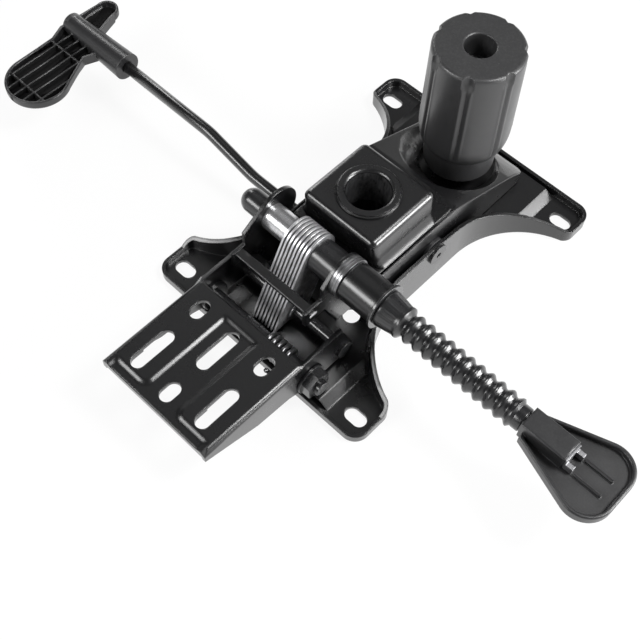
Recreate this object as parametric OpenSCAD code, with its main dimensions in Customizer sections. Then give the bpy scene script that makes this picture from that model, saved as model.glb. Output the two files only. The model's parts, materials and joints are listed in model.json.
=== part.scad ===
// Office chair tilt mechanism, shown as it lies on a bench with its seat face down.
// +Z points away from the seat, +Y to the front of the chair, +X to the clamp lever.
// The origin is the centre of the four seat slots, on the seat face. Millimetres.

/* [Seat pan] */
// Seat slot spacing across the chair
slot_span_x = 150; // [144:1:156]
// Seat slot spacing from front to back
slot_span_y = 200; // [194:1:206]
// Length of a seat slot
slot_len = 15; // [12:0.5:17]
// Width of a seat slot
slot_w = 9.5; // [8:0.25:10]
// Sheet thickness of the pan
pan_t = 2.5; // [2:0.1:3]
// Half width of the pan at its waist
waist_x = 41.5; // [41:0.5:44]
// Radius of the four waist curves
bite_r = 60; // [56:1:62]
// Half width over the arms
arm_x = 88; // [87:0.5:90]
// Radius of an arm's outer corner
tip_r = 10; // [9:0.5:11]
// Radius of an arm's inner corner
crook_r = 8; // [7:0.5:9]
// Height of the side walls at the waist
wall_h = 33; // [31:0.5:36]
// Height of the front rim
front_rim_h = 8; // [6:0.5:10]
// Height of the rear rim
rear_rim_h = 6; // [5:0.25:7]
// Height of the raised floor's upper face
floor_z = 7.5; // [6.5:0.25:8]

/* [Carrier] */
// Carrier hinge, distance in front of the origin
carrier_hinge_y = 9; // [7:0.5:11]
// Carrier hinge, height
carrier_hinge_z = 26; // [25:0.25:27]
// Radius of the carrier's hinge pins
hinge_pin_r = 5; // [4:0.25:6]
// Half width of the carrier
carrier_x = 36.5; // [35.5:0.25:36.75]
// Height of the carrier's top face
carrier_top_z = 47; // [46:0.25:48]
// Sheet thickness of the carrier
carrier_t = 2.5; // [2:0.1:3]
// Height of the gas lift saddle's top face
saddle_z = 71; // [66:0.5:74]
// Half width of the saddle
saddle_x = 29; // [28:0.25:29.5]
// Gas lift axis, distance behind the origin
gas_y = -12.5; // [-14:0.5:-11]
// Mouth radius of the gas lift taper
taper_mouth_r = 14; // [13.5:0.1:14.5]
// Small end radius of the gas lift taper
taper_end_r = 13.4; // [13:0.1:13.5]

/* [Tension knob] */
// Knob axis, distance in front of the origin
knob_y = 79; // [78.5:0.1:79.5]
// Height of the knob's top
knob_top_z = 125; // [121:1:129]
// Radius of the fluted grip
knob_r = 29.5; // [28:0.25:31]
// Radius of the knob's skirt
skirt_r = 23.5; // [22.5:0.25:24]
// Number of flutes
flutes = 7; // [5:1:9]
// Radius of the tension bolt
bolt_r = 5; // [4:0.25:6]
// Radius of the tension spring, at the middle of the wire
spring_r = 13; // [12:0.25:14]
// Thickness of the tension spring's wire
spring_wire = 4.5; // [3.5:0.25:5]
// Turns of the tension spring
spring_turns = 8; // [6:1:10]

/* [Back bracket] */
// Back hinge, distance in front of the pan's rear edge
back_inset = 7; // [6.5:0.25:7.5]
// Back hinge, height
back_hinge_z = 20; // [19.5:0.25:22]
// Half width of the bracket
bracket_x = 43; // [43:0.5:46]
// Length of the bracket behind its hinge
bracket_len = 82; // [78:1:88]
// Height of the bracket's top face
bracket_z = 41; // [40:0.5:42]
// Sheet thickness of the bracket
bracket_t = 2.5; // [2:0.1:2.5]
// Width of the backrest slots
back_slot_w = 9; // [8:0.5:10]
// Radius of the back hinge bolt
back_bolt_r = 5; // [4.5:0.25:5.5]
// Radius of the link pin
link_pin_r = 4; // [3.5:0.25:4.5]

/* [Plate clamp] */
// Clamp shaft, distance behind the origin
shaft_y = -57.3; // [-58:0.1:-56.5]
// Clamp shaft, height
shaft_z = 56; // [55.5:0.1:57]
// Radius of the clamp shaft
shaft_r = 5; // [4:0.25:5.5]
// Number of lamella plates
lamella_count = 8; // [8:1:8]
// Thickness of a lamella plate
lamella_t = 1.5; // [1.2:0.05:1.6]
// Thickness of a friction disc
disc_t = 1; // [0.8:0.05:1.1]
// Half width of a lamella plate
lamella_r = 13.5; // [12:0.25:13.75]
// Left face of the plate pack
pack_x = -17; // [-18:0.25:-16]
// Outer face of the left yoke cheek
yoke_left_x = -39.9; // [-39.9:0.1:-39]
// Inner face of the right yoke cheek
yoke_right_x = 20.5; // [20:0.25:21]
// Sheet thickness of the yoke
yoke_t = 2.5; // [2:0.1:2.5]

/* [Clamp lever] */
// Length of the cam sleeve
sleeve_len = 25; // [22:0.5:28]
// Radius of the cam sleeve
sleeve_r = 13; // [12:0.25:13.5]
// Number of ribs on the grip
ribs = 11; // [8:1:13]
// Spacing of the ribs
rib_pitch = 7.3; // [6.5:0.1:8]
// Radius over the ribs
rib_r = 9.4; // [8.5:0.1:10]
// Radius between the ribs
rib_root_r = 7.25; // [6.5:0.1:7.75]
// Length of the clamp paddle
clamp_paddle_len = 63; // [60:1:68]
// Half width of the clamp paddle's spade
spade_half = 24.5; // [23:0.25:26]

/* [Height lever] */
// Lever rod, distance behind the origin
rod_y = -28.2; // [-29:0.2:-27.4]
// Lever rod, height inside the carrier
rod_z = 23.5; // [23:0.25:24.5]
// Radius of the lever rod
rod_r = 4; // [3.5:0.1:4.2]
// Rise of the rod's joggle
joggle_rise = 11; // [8:0.5:16]
// Start of the joggle, distance left of the origin
joggle_x = -80; // [-90:1:-70]
// Mouth of the height paddle's socket
paddle_mouth_x = -208.5; // [-220:0.5:-200]
// Length of the height paddle's socket
paddle_len = 60; // [54:1:66]
// Radius of the height paddle's socket at its mouth
socket_r = 9.8; // [9:0.1:10.5]
// Radius of the height paddle's socket at its closed end
socket_end_r = 7.6; // [7:0.1:8.5]
// Radius of the height paddle's large lobe
lobe_r = 22.5; // [20:0.25:24]
// Reach of the large lobe's centre behind the rod
lobe_reach = 50.5; // [46:0.5:54]

/* [Clearances] */
// Radial running clearance of shafts and pins
run = 0.05; // [0.03:0.01:0.08]
// Gap between pieces that sit beside each other
seat_gap = 0.05; // [0.03:0.01:0.1]
// Gap between pieces that pass each other
pass_gap = 0.6; // [0.5:0.05:0.7]

/* [Hidden] */
$fn = 64;
eps = 0.01;
far = 400;
lamella_names = [for (i = [1:lamella_count]) str("lamella_", i)];

// Finishes, one colour each
coat = [0.06, 0.06, 0.065];
grip_black = [0.16, 0.16, 0.17];
bright_steel = [0.72, 0.73, 0.75];
dark_steel = [0.25, 0.25, 0.26];
nylon = [0.85, 0.85, 0.82];

// Seat pan: arm tips, edges and the two pairs of waist curves
slot_x = slot_span_x / 2;
slot_y = slot_span_y / 2;
front_edge_y = slot_y + 16.5;
rear_edge_y = -slot_y - 14;
front_bite_y = 32;
rear_bite_y = -25;
front_taper_y = slot_y - 5.5;
rear_taper_y = 8.5 - slot_y;
emboss_inset = 5;
ramp_foot_x = slot_x - 15;
ramp_head_x = ramp_foot_x - 7;

// Carrier: a channel with a level rear, a sloping front and a cup round the knob
carrier_rear_y = -42;
carrier_bend_y = 31;
carrier_slope = 0.3825;
carrier_wall_z = 13;
carrier_corner_r = 7;
cup_play = 2;
cup_r = skirt_r + cup_play;
cup_flare = 0.75;
cup_flare_z = 20;
cup_floor_z = 11.5;
carrier_front_y = knob_y + cup_r + carrier_t;
bush_hole_r = hinge_pin_r + 1.5;

// Gas saddle: a drafted box with a flared foot
saddle_rear_y = gas_y - 27.7;
saddle_front_y = gas_y + 28.2;
saddle_rear_draft = 3;
saddle_side_draft = 1.2;
saddle_flare = 3.4;
socket_tube_r = taper_mouth_r + 3.5;
socket_rim_r = socket_tube_r + 2.9;
socket_rim_z = saddle_z + 2.5;
socket_end_z = 27;

// Tension knob, from its skirt up
skirt_z = 26.5;
step_z = 46;
grip_z = 62;
grip_taper = 0.9;
flute_start = 39.3;
web_z = knob_top_z - 34;
web_t = 16;
spring_room_r = 18;
washer_t = 2;
knob_hole_r = 9.8;
spring_foot_z = cup_floor_z + 0.1;
spring_head_z = web_z - washer_t - seat_gap - 0.1;
spring_wire_r = spring_wire / 2;

// Plate clamp stations along the shaft
lamella_gap = (disc_t + 2 * seat_gap);
lamella_pitch = lamella_t + lamella_gap;
pack_right_x = pack_x + (lamella_count - 1) * lamella_pitch + lamella_t;
yoke_right_out = yoke_right_x + yoke_t;
disc_spring_t = 1.85;
sleeve_x = yoke_right_out + 3 * (disc_spring_t + seat_gap) + pass_gap / 3;
washer_x = sleeve_x + sleeve_len + seat_gap;
rim_t = 1.6;
cone_x = washer_x + rim_t + seat_gap;
cone_len = 16;
grip_x = cone_x + cone_len;
grip_end_x = grip_x + ribs * rib_pitch + 6;
clamp_paddle_x = grip_end_x + seat_gap;
core_r = 4.5;
core_reach = 22;
core_start = 9;
tie_rear_y = -88.5;
tie_front_y = -82;
tie_top_z = 47;
tie_t = 3;

// Lamella plates hang from the shaft towards the link pin in the bracket
lean = 27.2;
link_reach = 44;
link_travel = 6.7;
link_side = 0.6;
link_y = shaft_y - link_reach * sin(lean);
link_z = shaft_z - link_reach * cos(lean);
lamella_foot_z = floor_z + 2;

// Back bracket
back_hinge_y = rear_edge_y + back_inset;
bracket_rear_y = back_hinge_y - bracket_len;
bracket_open_y = back_hinge_y - 6;
bracket_in_x = bracket_x - bracket_t;
lug_x = bracket_in_x - 1.1;
lug_t = 2.5;
lug_r = 10;

// Height lever: bush in the carrier's wall, joggle and socket
joggle_a = 15;
joggle_bend_r = 36;
joggle_straight = (joggle_rise - 2 * joggle_bend_r * (1 - cos(joggle_a))) / sin(joggle_a);
outer_rod_z = rod_z + joggle_rise;
outer_rod_x = joggle_x - 2 * joggle_bend_r * sin(joggle_a) - joggle_straight * cos(joggle_a);
block_half = 8.5;
block_len = 8.5;
block_x = -carrier_x + carrier_t + seat_gap;
pivot_x = block_x + block_len / 2;
pivot_r = 2;
rod_play = 1;
finger_r = 6.5;
finger_x = -socket_tube_r;
finger_len = 7.3;

// Helpers

// Cylinder along X from x0 to x1 about (y, z)
module xrod(x0, x1, r, y = 0, z = 0) {
    translate([x0, y, z]) rotate([0, 90, 0]) cylinder(r = r, h = x1 - x0);
}

// Ring along X
module xring(x0, x1, r, hole, y, z) {
    difference() {
        xrod(x0, x1, r, y, z);
        xrod(x0 - 1, x1 + 1, hole, y, z);
    }
}

// Sheet in the YZ plane, from x0, t thick
module side_sheet(x0, t) {
    translate([x0, 0, 0]) rotate([90, 0, 90]) linear_extrude(t) children();
}

// Slot outline along the direction a
module slot(len, w, a = 0) {
    rotate(a) {
        square([len - w, w], center = true);
        for (s = [-1, 1]) translate([s * (len - w) / 2, 0]) circle(d = w);
    }
}

// Hexagon prism along X or Z
module hex(flats, h) {
    cylinder(r = flats / sqrt(3), h = h, $fn = 6);
}

// Wire swept along points, closed at both ends, as one tube
function tube_rings(path, r, n) = [
    for (i = [0:len(path) - 1])
        let (a = path[max(i - 1, 0)], b = path[min(i + 1, len(path) - 1)],
             d = (b - a) / norm(b - a),
             side = cross(d, abs(d.z) < 0.9 ? [0, 0, 1] : [1, 0, 0]),
             u = side / norm(side), v = cross(u, d))
        for (k = [0:n - 1])
            path[i] + r * (cos(360 * k / n) * u + sin(360 * k / n) * v)
];
function tube_sides(count, n) = [
    for (i = [0:count - 2], k = [0:n - 1])
        let (p = i * n + k, q = i * n + (k + 1) % n)
        for (f = [[p, q, q + n], [p, q + n, p + n]]) f
];
function tube_ends(count, n) = [
    for (k = [1:n - 2])
        for (f = [[0, k + 1, k], [(count - 1) * n, (count - 1) * n + k, (count - 1) * n + k + 1]]) f
];
module tube(path, r, n = 6) {
    polyhedron(tube_rings(path, r, n), concat(tube_sides(len(path), n), tube_ends(len(path), n)));
}

// Seat pan

// Arms of one end of the pan: round outer corners, straight ends, round inner corners
module arms(edge_y, bite_y, inset) {
    bite_x = waist_x + bite_r;
    crook_x = arm_x - crook_r;
    nip = 0.2;
    crook_y = bite_y + sqrt(pow(bite_r + crook_r - nip, 2) - pow(bite_x - crook_x, 2));
    touch_x = bite_x - (bite_x - crook_x) * (bite_r + inset) / (bite_r + crook_r);
    corner = [arm_x - tip_r, edge_y - tip_r];
    for (s = [-1, 1]) {
        translate([s * corner.x, corner.y]) circle(r = tip_r - inset);
        translate([s * crook_x, crook_y]) circle(r = crook_r - inset);
    }
    translate([-corner.x, bite_y]) square([2 * corner.x, edge_y - inset - bite_y]);
    translate([-touch_x, bite_y]) square([2 * touch_x, corner.y - bite_y]);
    translate([inset - arm_x, crook_y]) square([2 * (arm_x - inset), corner.y - crook_y]);
}
module pan_outline(inset = 0) {
    difference() {
        union() {
            arms(front_edge_y, front_bite_y, inset);
            mirror([0, 1]) arms(-rear_edge_y, -rear_bite_y, inset);
            translate([inset - waist_x, rear_bite_y - eps])
                square([2 * (waist_x - inset), front_bite_y - rear_bite_y + 2 * eps]);
        }
        for (s = [-1, 1], y = [front_bite_y, rear_bite_y])
            translate([s * (waist_x + bite_r), y]) circle(r = bite_r + inset, $fn = 128);
    }
}

// Side walls fall away from the waist to the rims on a parabola
function wall_at(rim, t) = rim + (wall_h - rim) * (1 - t * t);
module wall_profile() {
    steps = 6;
    polygon(concat(
        [[front_edge_y + 1, -1], [front_edge_y + 1, front_rim_h]],
        [for (i = [steps:-1:0]) [front_taper_y * i / steps, wall_at(front_rim_h, i / steps)]],
        [for (i = [0:steps]) [rear_bite_y + (rear_taper_y - rear_bite_y) * i / steps,
                              wall_at(rear_rim_h, i / steps)]],
        [[rear_edge_y - 1, rear_rim_h], [rear_edge_y - 1, -1]]));
}

// Section of the raised floor, with its ramps down to the arm pads
module floor_section(drop) {
    rotate([90, 0, 0]) linear_extrude(far, center = true)
        polygon([[-ramp_foot_x - 1, -1], [-ramp_foot_x, pan_t - drop], [-ramp_head_x, floor_z - drop],
                 [ramp_head_x, floor_z - drop], [ramp_foot_x, pan_t - drop], [ramp_foot_x + 1, -1]]);
}

module pan_walls() {
    intersection() {
        difference() {
            linear_extrude(wall_h) pan_outline();
            translate([0, 0, -1]) linear_extrude(wall_h + 2) pan_outline(pan_t);
        }
        side_sheet(-far / 2, far) wall_profile();
    }
}

module seat_pan() {
    rod_notch_z = 12;
    rod_notch = 20;
    floor_hole_r = 5.5;
    color(coat) difference() {
        union() {
            pan_walls();
            linear_extrude(pan_t) pan_outline();
            intersection() {
                linear_extrude(floor_z) pan_outline(emboss_inset);
                floor_section(0);
            }
        }
        intersection() {
            translate([0, 0, -1]) linear_extrude(floor_z - pan_t + 1) pan_outline(emboss_inset + pan_t);
            floor_section(pan_t);
        }
        for (x = [-slot_x, slot_x], y = [-slot_y, slot_y])
            translate([x, y, -1]) linear_extrude(pan_t + 2) slot(slot_len, slot_w);
        xrod(-far / 2, far / 2, hinge_pin_r + run, carrier_hinge_y, carrier_hinge_z);
        translate([-waist_x - 10, rod_y - rod_notch / 2, rod_notch_z]) cube([15, rod_notch, wall_h]);
        translate([0, knob_y, -1]) cylinder(r = bolt_r + run, h = floor_z + 2);
        translate([yoke_right_x + floor_hole_r + 1, shaft_y + 4.6, -1]) cylinder(r = floor_hole_r, h = floor_z + 2);
        for (p = yoke_rivet_places()) translate([p.x, p.y, -1]) cylinder(r = rivet_r + run, h = floor_z + 2);
        for (p = lug_rivet_places()) translate([p.x, p.y, -1]) cylinder(r = rivet_r + run, h = floor_z + 2);
    }
}

module carrier_hinge_pins() {
    head_r = hinge_pin_r + 2.5;
    head_t = 1.8;
    dimple_r = 2;
    color(dark_steel) for (s = [0, 1]) mirror([s, 0, 0]) difference() {
        union() {
            xrod(carrier_x - carrier_t - 3, waist_x + head_t, hinge_pin_r, carrier_hinge_y, carrier_hinge_z);
            xrod(waist_x + seat_gap, waist_x + head_t, head_r, carrier_hinge_y, carrier_hinge_z);
        }
        xrod(waist_x, waist_x + 5, dimple_r, carrier_hinge_y, carrier_hinge_z);
    }
}

// Rear hinge bracket: a channel riveted to the pan, its lugs inside the back bracket's walls
rivet_r = 2.5;
rivet_head_r = 3.6;
lug_base_rear_y = back_hinge_y - 4;
lug_base_front_y = back_hinge_y + 9;
lug_rivet_y = rear_edge_y + emboss_inset + pan_t + rivet_head_r + 0.5;
function lug_rivet_places() = [for (x = [-26, -9, 9, 26]) [x, lug_rivet_y]];

module hinge_bracket() {
    color(coat) difference() {
        union() {
            translate([-lug_x, lug_base_rear_y, floor_z])
                cube([2 * lug_x, lug_base_front_y - lug_base_rear_y, lug_t]);
            for (s = [0, 1]) mirror([s, 0, 0]) side_sheet(lug_x - lug_t, lug_t) {
                translate([back_hinge_y, back_hinge_z]) circle(r = lug_r);
                translate([lug_base_rear_y, floor_z])
                    square([lug_base_front_y - lug_base_rear_y, back_hinge_z - floor_z]);
            }
        }
        xrod(-far / 2, far / 2, back_bolt_r + run, back_hinge_y, back_hinge_z);
        for (p = lug_rivet_places()) translate([p.x, p.y, 0]) cylinder(r = rivet_r + run, h = floor_z + 5);
    }
}

// Bolt of the back hinge, head on the left, and its nut and washers on the right
back_head_x = bracket_x + 0.3;
module back_hinge_bolt() {
    head_t = 6.4;
    thread_end = 10.5;
    color(dark_steel) {
        xrod(-back_head_x, back_head_x + thread_end, back_bolt_r, back_hinge_y, back_hinge_z);
        translate([-back_head_x - head_t, back_hinge_y, back_hinge_z])
            rotate([0, 90, 0]) hex(3.3 * back_bolt_r, head_t);
    }
}
module back_hinge_nut() {
    washer = 1.6;
    nut_t = 6;
    color(dark_steel) {
        xring(back_head_x, back_head_x + washer, 2.1 * back_bolt_r, back_bolt_r + run, back_hinge_y, back_hinge_z);
        difference() {
            translate([back_head_x + washer + seat_gap, back_hinge_y, back_hinge_z])
                rotate([0, 90, 0]) hex(3.3 * back_bolt_r, nut_t);
            xrod(back_head_x, back_head_x + 20, back_bolt_r + run, back_hinge_y, back_hinge_z);
        }
    }
}

// Clamp yoke: two cheeks bent up from a web on the pan, with slots for the tie bar
yoke_web_rear_y = shaft_y - 4.5;
yoke_web_front_y = shaft_y + 13;
function yoke_rivet_places() = [for (x = [-30, -12, 8]) [x, (yoke_web_rear_y + yoke_web_front_y) / 2]];

// Outline of a cheek: a round head on a leg, with an arm back to the tie bar
module cheek(head_y, head_r, shoulder) {
    arm_rear_y = tie_rear_y - 1.5;
    arm_low_z = tie_top_z - 12;
    arm_top_z = tie_top_z + 0.5;
    difference() {
        union() {
            translate([head_y, shaft_z]) circle(r = head_r);
            polygon([[head_y + head_r - 4, shaft_z - 5], [head_y - 4, shaft_z + head_r - 0.6],
                     [head_y - head_r + 4, shaft_z + head_r - 4], [shoulder, shaft_z + 2],
                     [shoulder, arm_top_z], [arm_rear_y, arm_top_z], [arm_rear_y, arm_low_z],
                     [shaft_y - 16, arm_low_z], [yoke_web_rear_y, floor_z + yoke_t],
                     [yoke_web_rear_y, floor_z], [yoke_web_front_y, floor_z]]);
        }
        translate([shaft_y, shaft_z]) circle(r = shaft_r + run);
        translate([tie_rear_y + 1 - seat_gap, tie_top_z - tie_t - seat_gap])
            square([tie_front_y - tie_rear_y - 2 + 2 * seat_gap, tie_t + 2 * seat_gap]);
    }
}
module clamp_yoke() {
    color(coat) {
        side_sheet(yoke_left_x, yoke_t) cheek(shaft_y + 5.3, 16, shaft_y - 22.5);
        side_sheet(yoke_right_x, yoke_t) cheek(shaft_y, 14, shaft_y - 18);
        difference() {
            translate([yoke_left_x, yoke_web_rear_y, floor_z])
                cube([yoke_right_out - yoke_left_x, yoke_web_front_y - yoke_web_rear_y, yoke_t]);
            for (p = yoke_rivet_places()) translate([p.x, p.y, 0]) cylinder(r = rivet_r + run, h = floor_z + 5);
        }
    }
}

// Rivets that hold the yoke and the hinge bracket on the raised floor
module yoke_rivets() {
    head_t = 1.4;
    color(dark_steel) for (p = concat(yoke_rivet_places(), lug_rivet_places())) translate([p.x, p.y, 0]) {
        translate([0, 0, floor_z - pan_t - head_t]) cylinder(r = rivet_r, h = pan_t + yoke_t + 2 * head_t);
        translate([0, 0, floor_z - pan_t - head_t - seat_gap]) cylinder(r = rivet_head_r, h = head_t);
        translate([0, 0, floor_z + yoke_t + seat_gap]) cylinder(r = rivet_head_r, h = head_t);
    }
}

// Flat bar between the cheeks, with a tab through each
module tie_bar() {
    tab_w = tie_front_y - tie_rear_y - 2;
    tab_out = 2;
    color(coat) {
        translate([yoke_left_x + yoke_t + seat_gap, tie_rear_y, tie_top_z - tie_t])
            cube([yoke_right_x - yoke_left_x - yoke_t - 2 * seat_gap, tie_front_y - tie_rear_y, tie_t]);
        translate([yoke_left_x, tie_rear_y + 1, tie_top_z - tie_t])
            cube([yoke_right_out - yoke_left_x + tab_out, tab_w, tie_t]);
    }
}

// Clamp shaft and the pieces on it, from left to right
cap_x = yoke_left_x - 4;
module clamp_shaft() {
    color(bright_steel) xrod(cap_x - 5, cone_x + core_start - 1, shaft_r, shaft_y, shaft_z);
}
module shaft_cap() {
    cap_r = 8;
    cap_len = 8.5;
    color(grip_black) difference() {
        union() {
            xrod(cap_x - cap_len, yoke_left_x - seat_gap, cap_r, shaft_y, shaft_z);
            translate([cap_x - cap_len, shaft_y, shaft_z]) sphere(r = cap_r);
        }
        xrod(cap_x - 5 - seat_gap, yoke_left_x + 1, shaft_r + run, shaft_y, shaft_z);
    }
}
module spacer_tube() {
    tube_r = 9;
    color(bright_steel)
        xring(yoke_left_x + yoke_t + seat_gap, pack_x - seat_gap, tube_r, shaft_r + run, shaft_y, shaft_z);
}
module friction_discs() {
    color(dark_steel) for (i = [0:lamella_count - 2])
        let (x = pack_x + i * lamella_pitch + lamella_t + seat_gap)
        xring(x, x + disc_t, lamella_r - 1.5, shaft_r + run, shaft_y, shaft_z);
}
module pack_collar() {
    collar_r = 11;
    color(dark_steel)
        xring(pack_right_x + seat_gap, yoke_right_x - seat_gap, collar_r, shaft_r + run, shaft_y, shaft_z);
}
module disc_springs() {
    ring_r = sleeve_r + 1;
    color(bright_steel) for (i = [0:2])
        let (x = yoke_right_out + seat_gap + i * (disc_spring_t + seat_gap))
        xring(x, x + disc_spring_t, ring_r, shaft_r + run, shaft_y, shaft_z);
}

// Tension bolt, its round head under the raised floor
module tension_bolt() {
    head_r = 2 * bolt_r;
    head_t = floor_z - pan_t - 0.7;
    color(dark_steel) translate([0, knob_y, 0]) {
        translate([0, 0, floor_z - pan_t - head_t - seat_gap]) cylinder(r = head_r, h = head_t);
        translate([0, 0, floor_z - pan_t - head_t]) cylinder(r = bolt_r, h = web_z + 20 - floor_z);
    }
}

// Carrier

// Plan of the carrier, its front corners rounded
module carrier_outline(inset = 0) {
    x = carrier_x - inset;
    y = carrier_front_y - inset;
    r = carrier_corner_r - inset;
    translate([-x, carrier_rear_y + inset]) square([2 * x, y - r - carrier_rear_y - inset]);
    translate([r - x, carrier_rear_y + inset]) square([2 * (x - r), y - carrier_rear_y - inset]);
    for (s = [-1, 1]) translate([s * (x - r), y - r]) circle(r = r);
}

// Side of the carrier: level over the hinge, then down to a rounded nose
module carrier_side(drop = 0, low = 0) {
    nose_y = carrier_front_y - 19;
    nose_z = carrier_top_z - carrier_slope * (nose_y - carrier_bend_y);
    polygon([[carrier_rear_y - 1, carrier_wall_z - low], [carrier_rear_y - 1, carrier_top_z - drop],
             [carrier_bend_y, carrier_top_z - drop], [nose_y, nose_z - drop], [nose_y + 9, nose_z - 4.3 - drop],
             [nose_y + 15, nose_z - 8.2 - drop], [carrier_front_y + 1, nose_z - 12.2 - drop],
             [carrier_front_y + 1, cup_floor_z - carrier_t - low], [knob_y - cup_r, cup_floor_z - carrier_t - low],
             [carrier_bend_y - 10, carrier_wall_z - low]]);
}
module carrier_block(inset, drop, low) {
    intersection() {
        linear_extrude(carrier_top_z + 1) carrier_outline(inset);
        side_sheet(-carrier_x - 1, 2 * carrier_x + 2) carrier_side(drop, low);
    }
}

// Cup: straight at its floor, flared above
module cup(wall, floor) {
    high = carrier_top_z + 5;
    rotate_extrude() polygon([[0, floor], [cup_r + wall, floor], [cup_r + wall, cup_flare_z],
                              [cup_r + wall + cup_flare * (high - cup_flare_z), high], [0, high]]);
}

module carrier_channel() {
    bolt_play = 3.5;
    groove_w = 1.2;
    groove_x = saddle_x + saddle_side_draft + saddle_flare + 0.4;
    color(coat) difference() {
        union() {
            difference() {
                carrier_block(0, 0, 0);
                carrier_block(carrier_t, carrier_t, 5);
            }
            intersection() {
                carrier_block(0, 0, 0);
                translate([0, knob_y, 0]) cup(carrier_t, cup_floor_z - carrier_t);
            }
        }
        translate([0, knob_y, 0]) cup(0, cup_floor_z);
        translate([0, knob_y, 0]) cylinder(r = bolt_r + bolt_play, h = carrier_top_z);
        translate([0, gas_y, carrier_wall_z]) cylinder(r = socket_tube_r + 1, h = carrier_top_z);
        xrod(-far / 2, far / 2, bush_hole_r, carrier_hinge_y, carrier_hinge_z);
        xrod(-far / 2, -carrier_x + carrier_t + 1, rod_r + rod_play + 0.8, rod_y, rod_z);
        for (x = [groove_x, -groove_x - groove_w]) translate([x, carrier_rear_y - 1, carrier_top_z - groove_w])
            cube([groove_w, carrier_bend_y - carrier_rear_y - 2, groove_w + 1]);
    }
}

// Pressed box over the gas lift, drafted, with its foot flared onto the carrier
module saddle_shape(inset, low) {
    top = saddle_z - inset;
    waist = carrier_top_z + saddle_flare;
    half = saddle_x - inset;
    intersection() {
        translate([0, far / 2, 0]) rotate([90, 0, 0]) linear_extrude(far)
            polygon([[half, top], [half + saddle_side_draft, waist], [half + saddle_side_draft + saddle_flare, low],
                     [-half - saddle_side_draft - saddle_flare, low], [-half - saddle_side_draft, waist], [-half, top]]);
        side_sheet(-far / 2, far)
            polygon([[saddle_rear_y + inset, top], [saddle_rear_y + saddle_rear_draft + inset, low],
                     [saddle_front_y + 0.4 - inset, low], [saddle_front_y - inset, top]]);
    }
}
module gas_saddle() {
    color(coat) difference() {
        saddle_shape(0, carrier_top_z + seat_gap);
        saddle_shape(carrier_t, carrier_top_z - 1);
        translate([0, gas_y, carrier_top_z]) cylinder(r = socket_tube_r + seat_gap, h = far);
    }
}

// Taper socket, welded in the saddle, open towards the gas lift
module taper_socket() {
    chamfer = 1.5;
    rim_z = saddle_z + 2 * seat_gap;
    color(coat) translate([0, gas_y, 0]) rotate_extrude()
        polygon([[taper_end_r, socket_end_z], [socket_tube_r, socket_end_z], [socket_tube_r, rim_z],
                 [socket_rim_r, rim_z], [socket_rim_r - 0.6, socket_rim_z - 0.6], [socket_rim_r - 1.4, socket_rim_z],
                 [taper_mouth_r + chamfer, socket_rim_z], [taper_mouth_r, socket_rim_z - chamfer]]);
}

// Flanged bushes between the carrier and its hinge pins
module hinge_bushes() {
    flange_r = hinge_pin_r + 4;
    in_x = carrier_x - carrier_t;
    out_x = waist_x - pan_t - 0.3;
    color(nylon) for (s = [0, 1]) mirror([s, 0, 0]) difference() {
        union() {
            xrod(in_x, out_x, bush_hole_r - seat_gap, carrier_hinge_y, carrier_hinge_z);
            xrod(carrier_x + seat_gap, out_x, flange_r, carrier_hinge_y, carrier_hinge_z);
        }
        xrod(0, far, hinge_pin_r + run, carrier_hinge_y, carrier_hinge_z);
    }
}

// Pivot block of the height lever, on the inside of the carrier's left wall
module rod_bush() {
    slot_h = rod_r + rod_play;
    slot_w = rod_r + 0.3;
    color(nylon) translate([0, rod_y, rod_z]) difference() {
        translate([block_x, -block_half, -block_half]) cube([block_len, 2 * block_half, 2 * block_half]);
        translate([block_x - 1, -slot_w, -slot_h]) cube([block_len + 2, 2 * slot_w, 2 * slot_h]);
        translate([pivot_x, -far / 2, 0]) rotate([-90, 0, 0]) cylinder(r = pivot_r + run, h = far);
    }
}

// Tension knob and its spring

module thrust_washer() {
    color(bright_steel) translate([0, knob_y, web_z - washer_t - seat_gap]) difference() {
        cylinder(r = spring_room_r - pass_gap, h = washer_t);
        translate([0, 0, -1]) cylinder(r = bolt_r + run, h = washer_t + 2);
    }
}

// Coil from the cup's floor to the washer, its end turns closed
module tension_spring() {
    rings = 8;
    low = spring_foot_z + spring_wire_r;
    high = spring_head_z - spring_wire_r;
    closed = 1.12 * spring_wire;
    mid = (high - low - 2 * closed) / (spring_turns - 2);
    function height(t) = t < 1 ? low + closed * t
        : t > spring_turns - 1 ? high - closed * (spring_turns - t)
        : low + closed + mid * (t - 1);
    path = [for (i = [0:spring_turns * rings])
        let (t = i / rings) [spring_r * cos(360 * t), knob_y + spring_r * sin(360 * t), height(t)]];
    echo(str("tension spring, least gap between turns: ", least_gap(path, rings, spring_wire), " mm"));
    color(dark_steel) tube(path, spring_wire_r);
}

// Least gap of a coil to itself, measured between points a turn or more apart
function least_gap(path, rings, wire) = min([
    for (i = [0:len(path) - 1 - rings], j = [i + rings - 2:min(i + rings + 2, len(path) - 1)])
        norm(path[i] - path[j]) - wire]);

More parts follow.
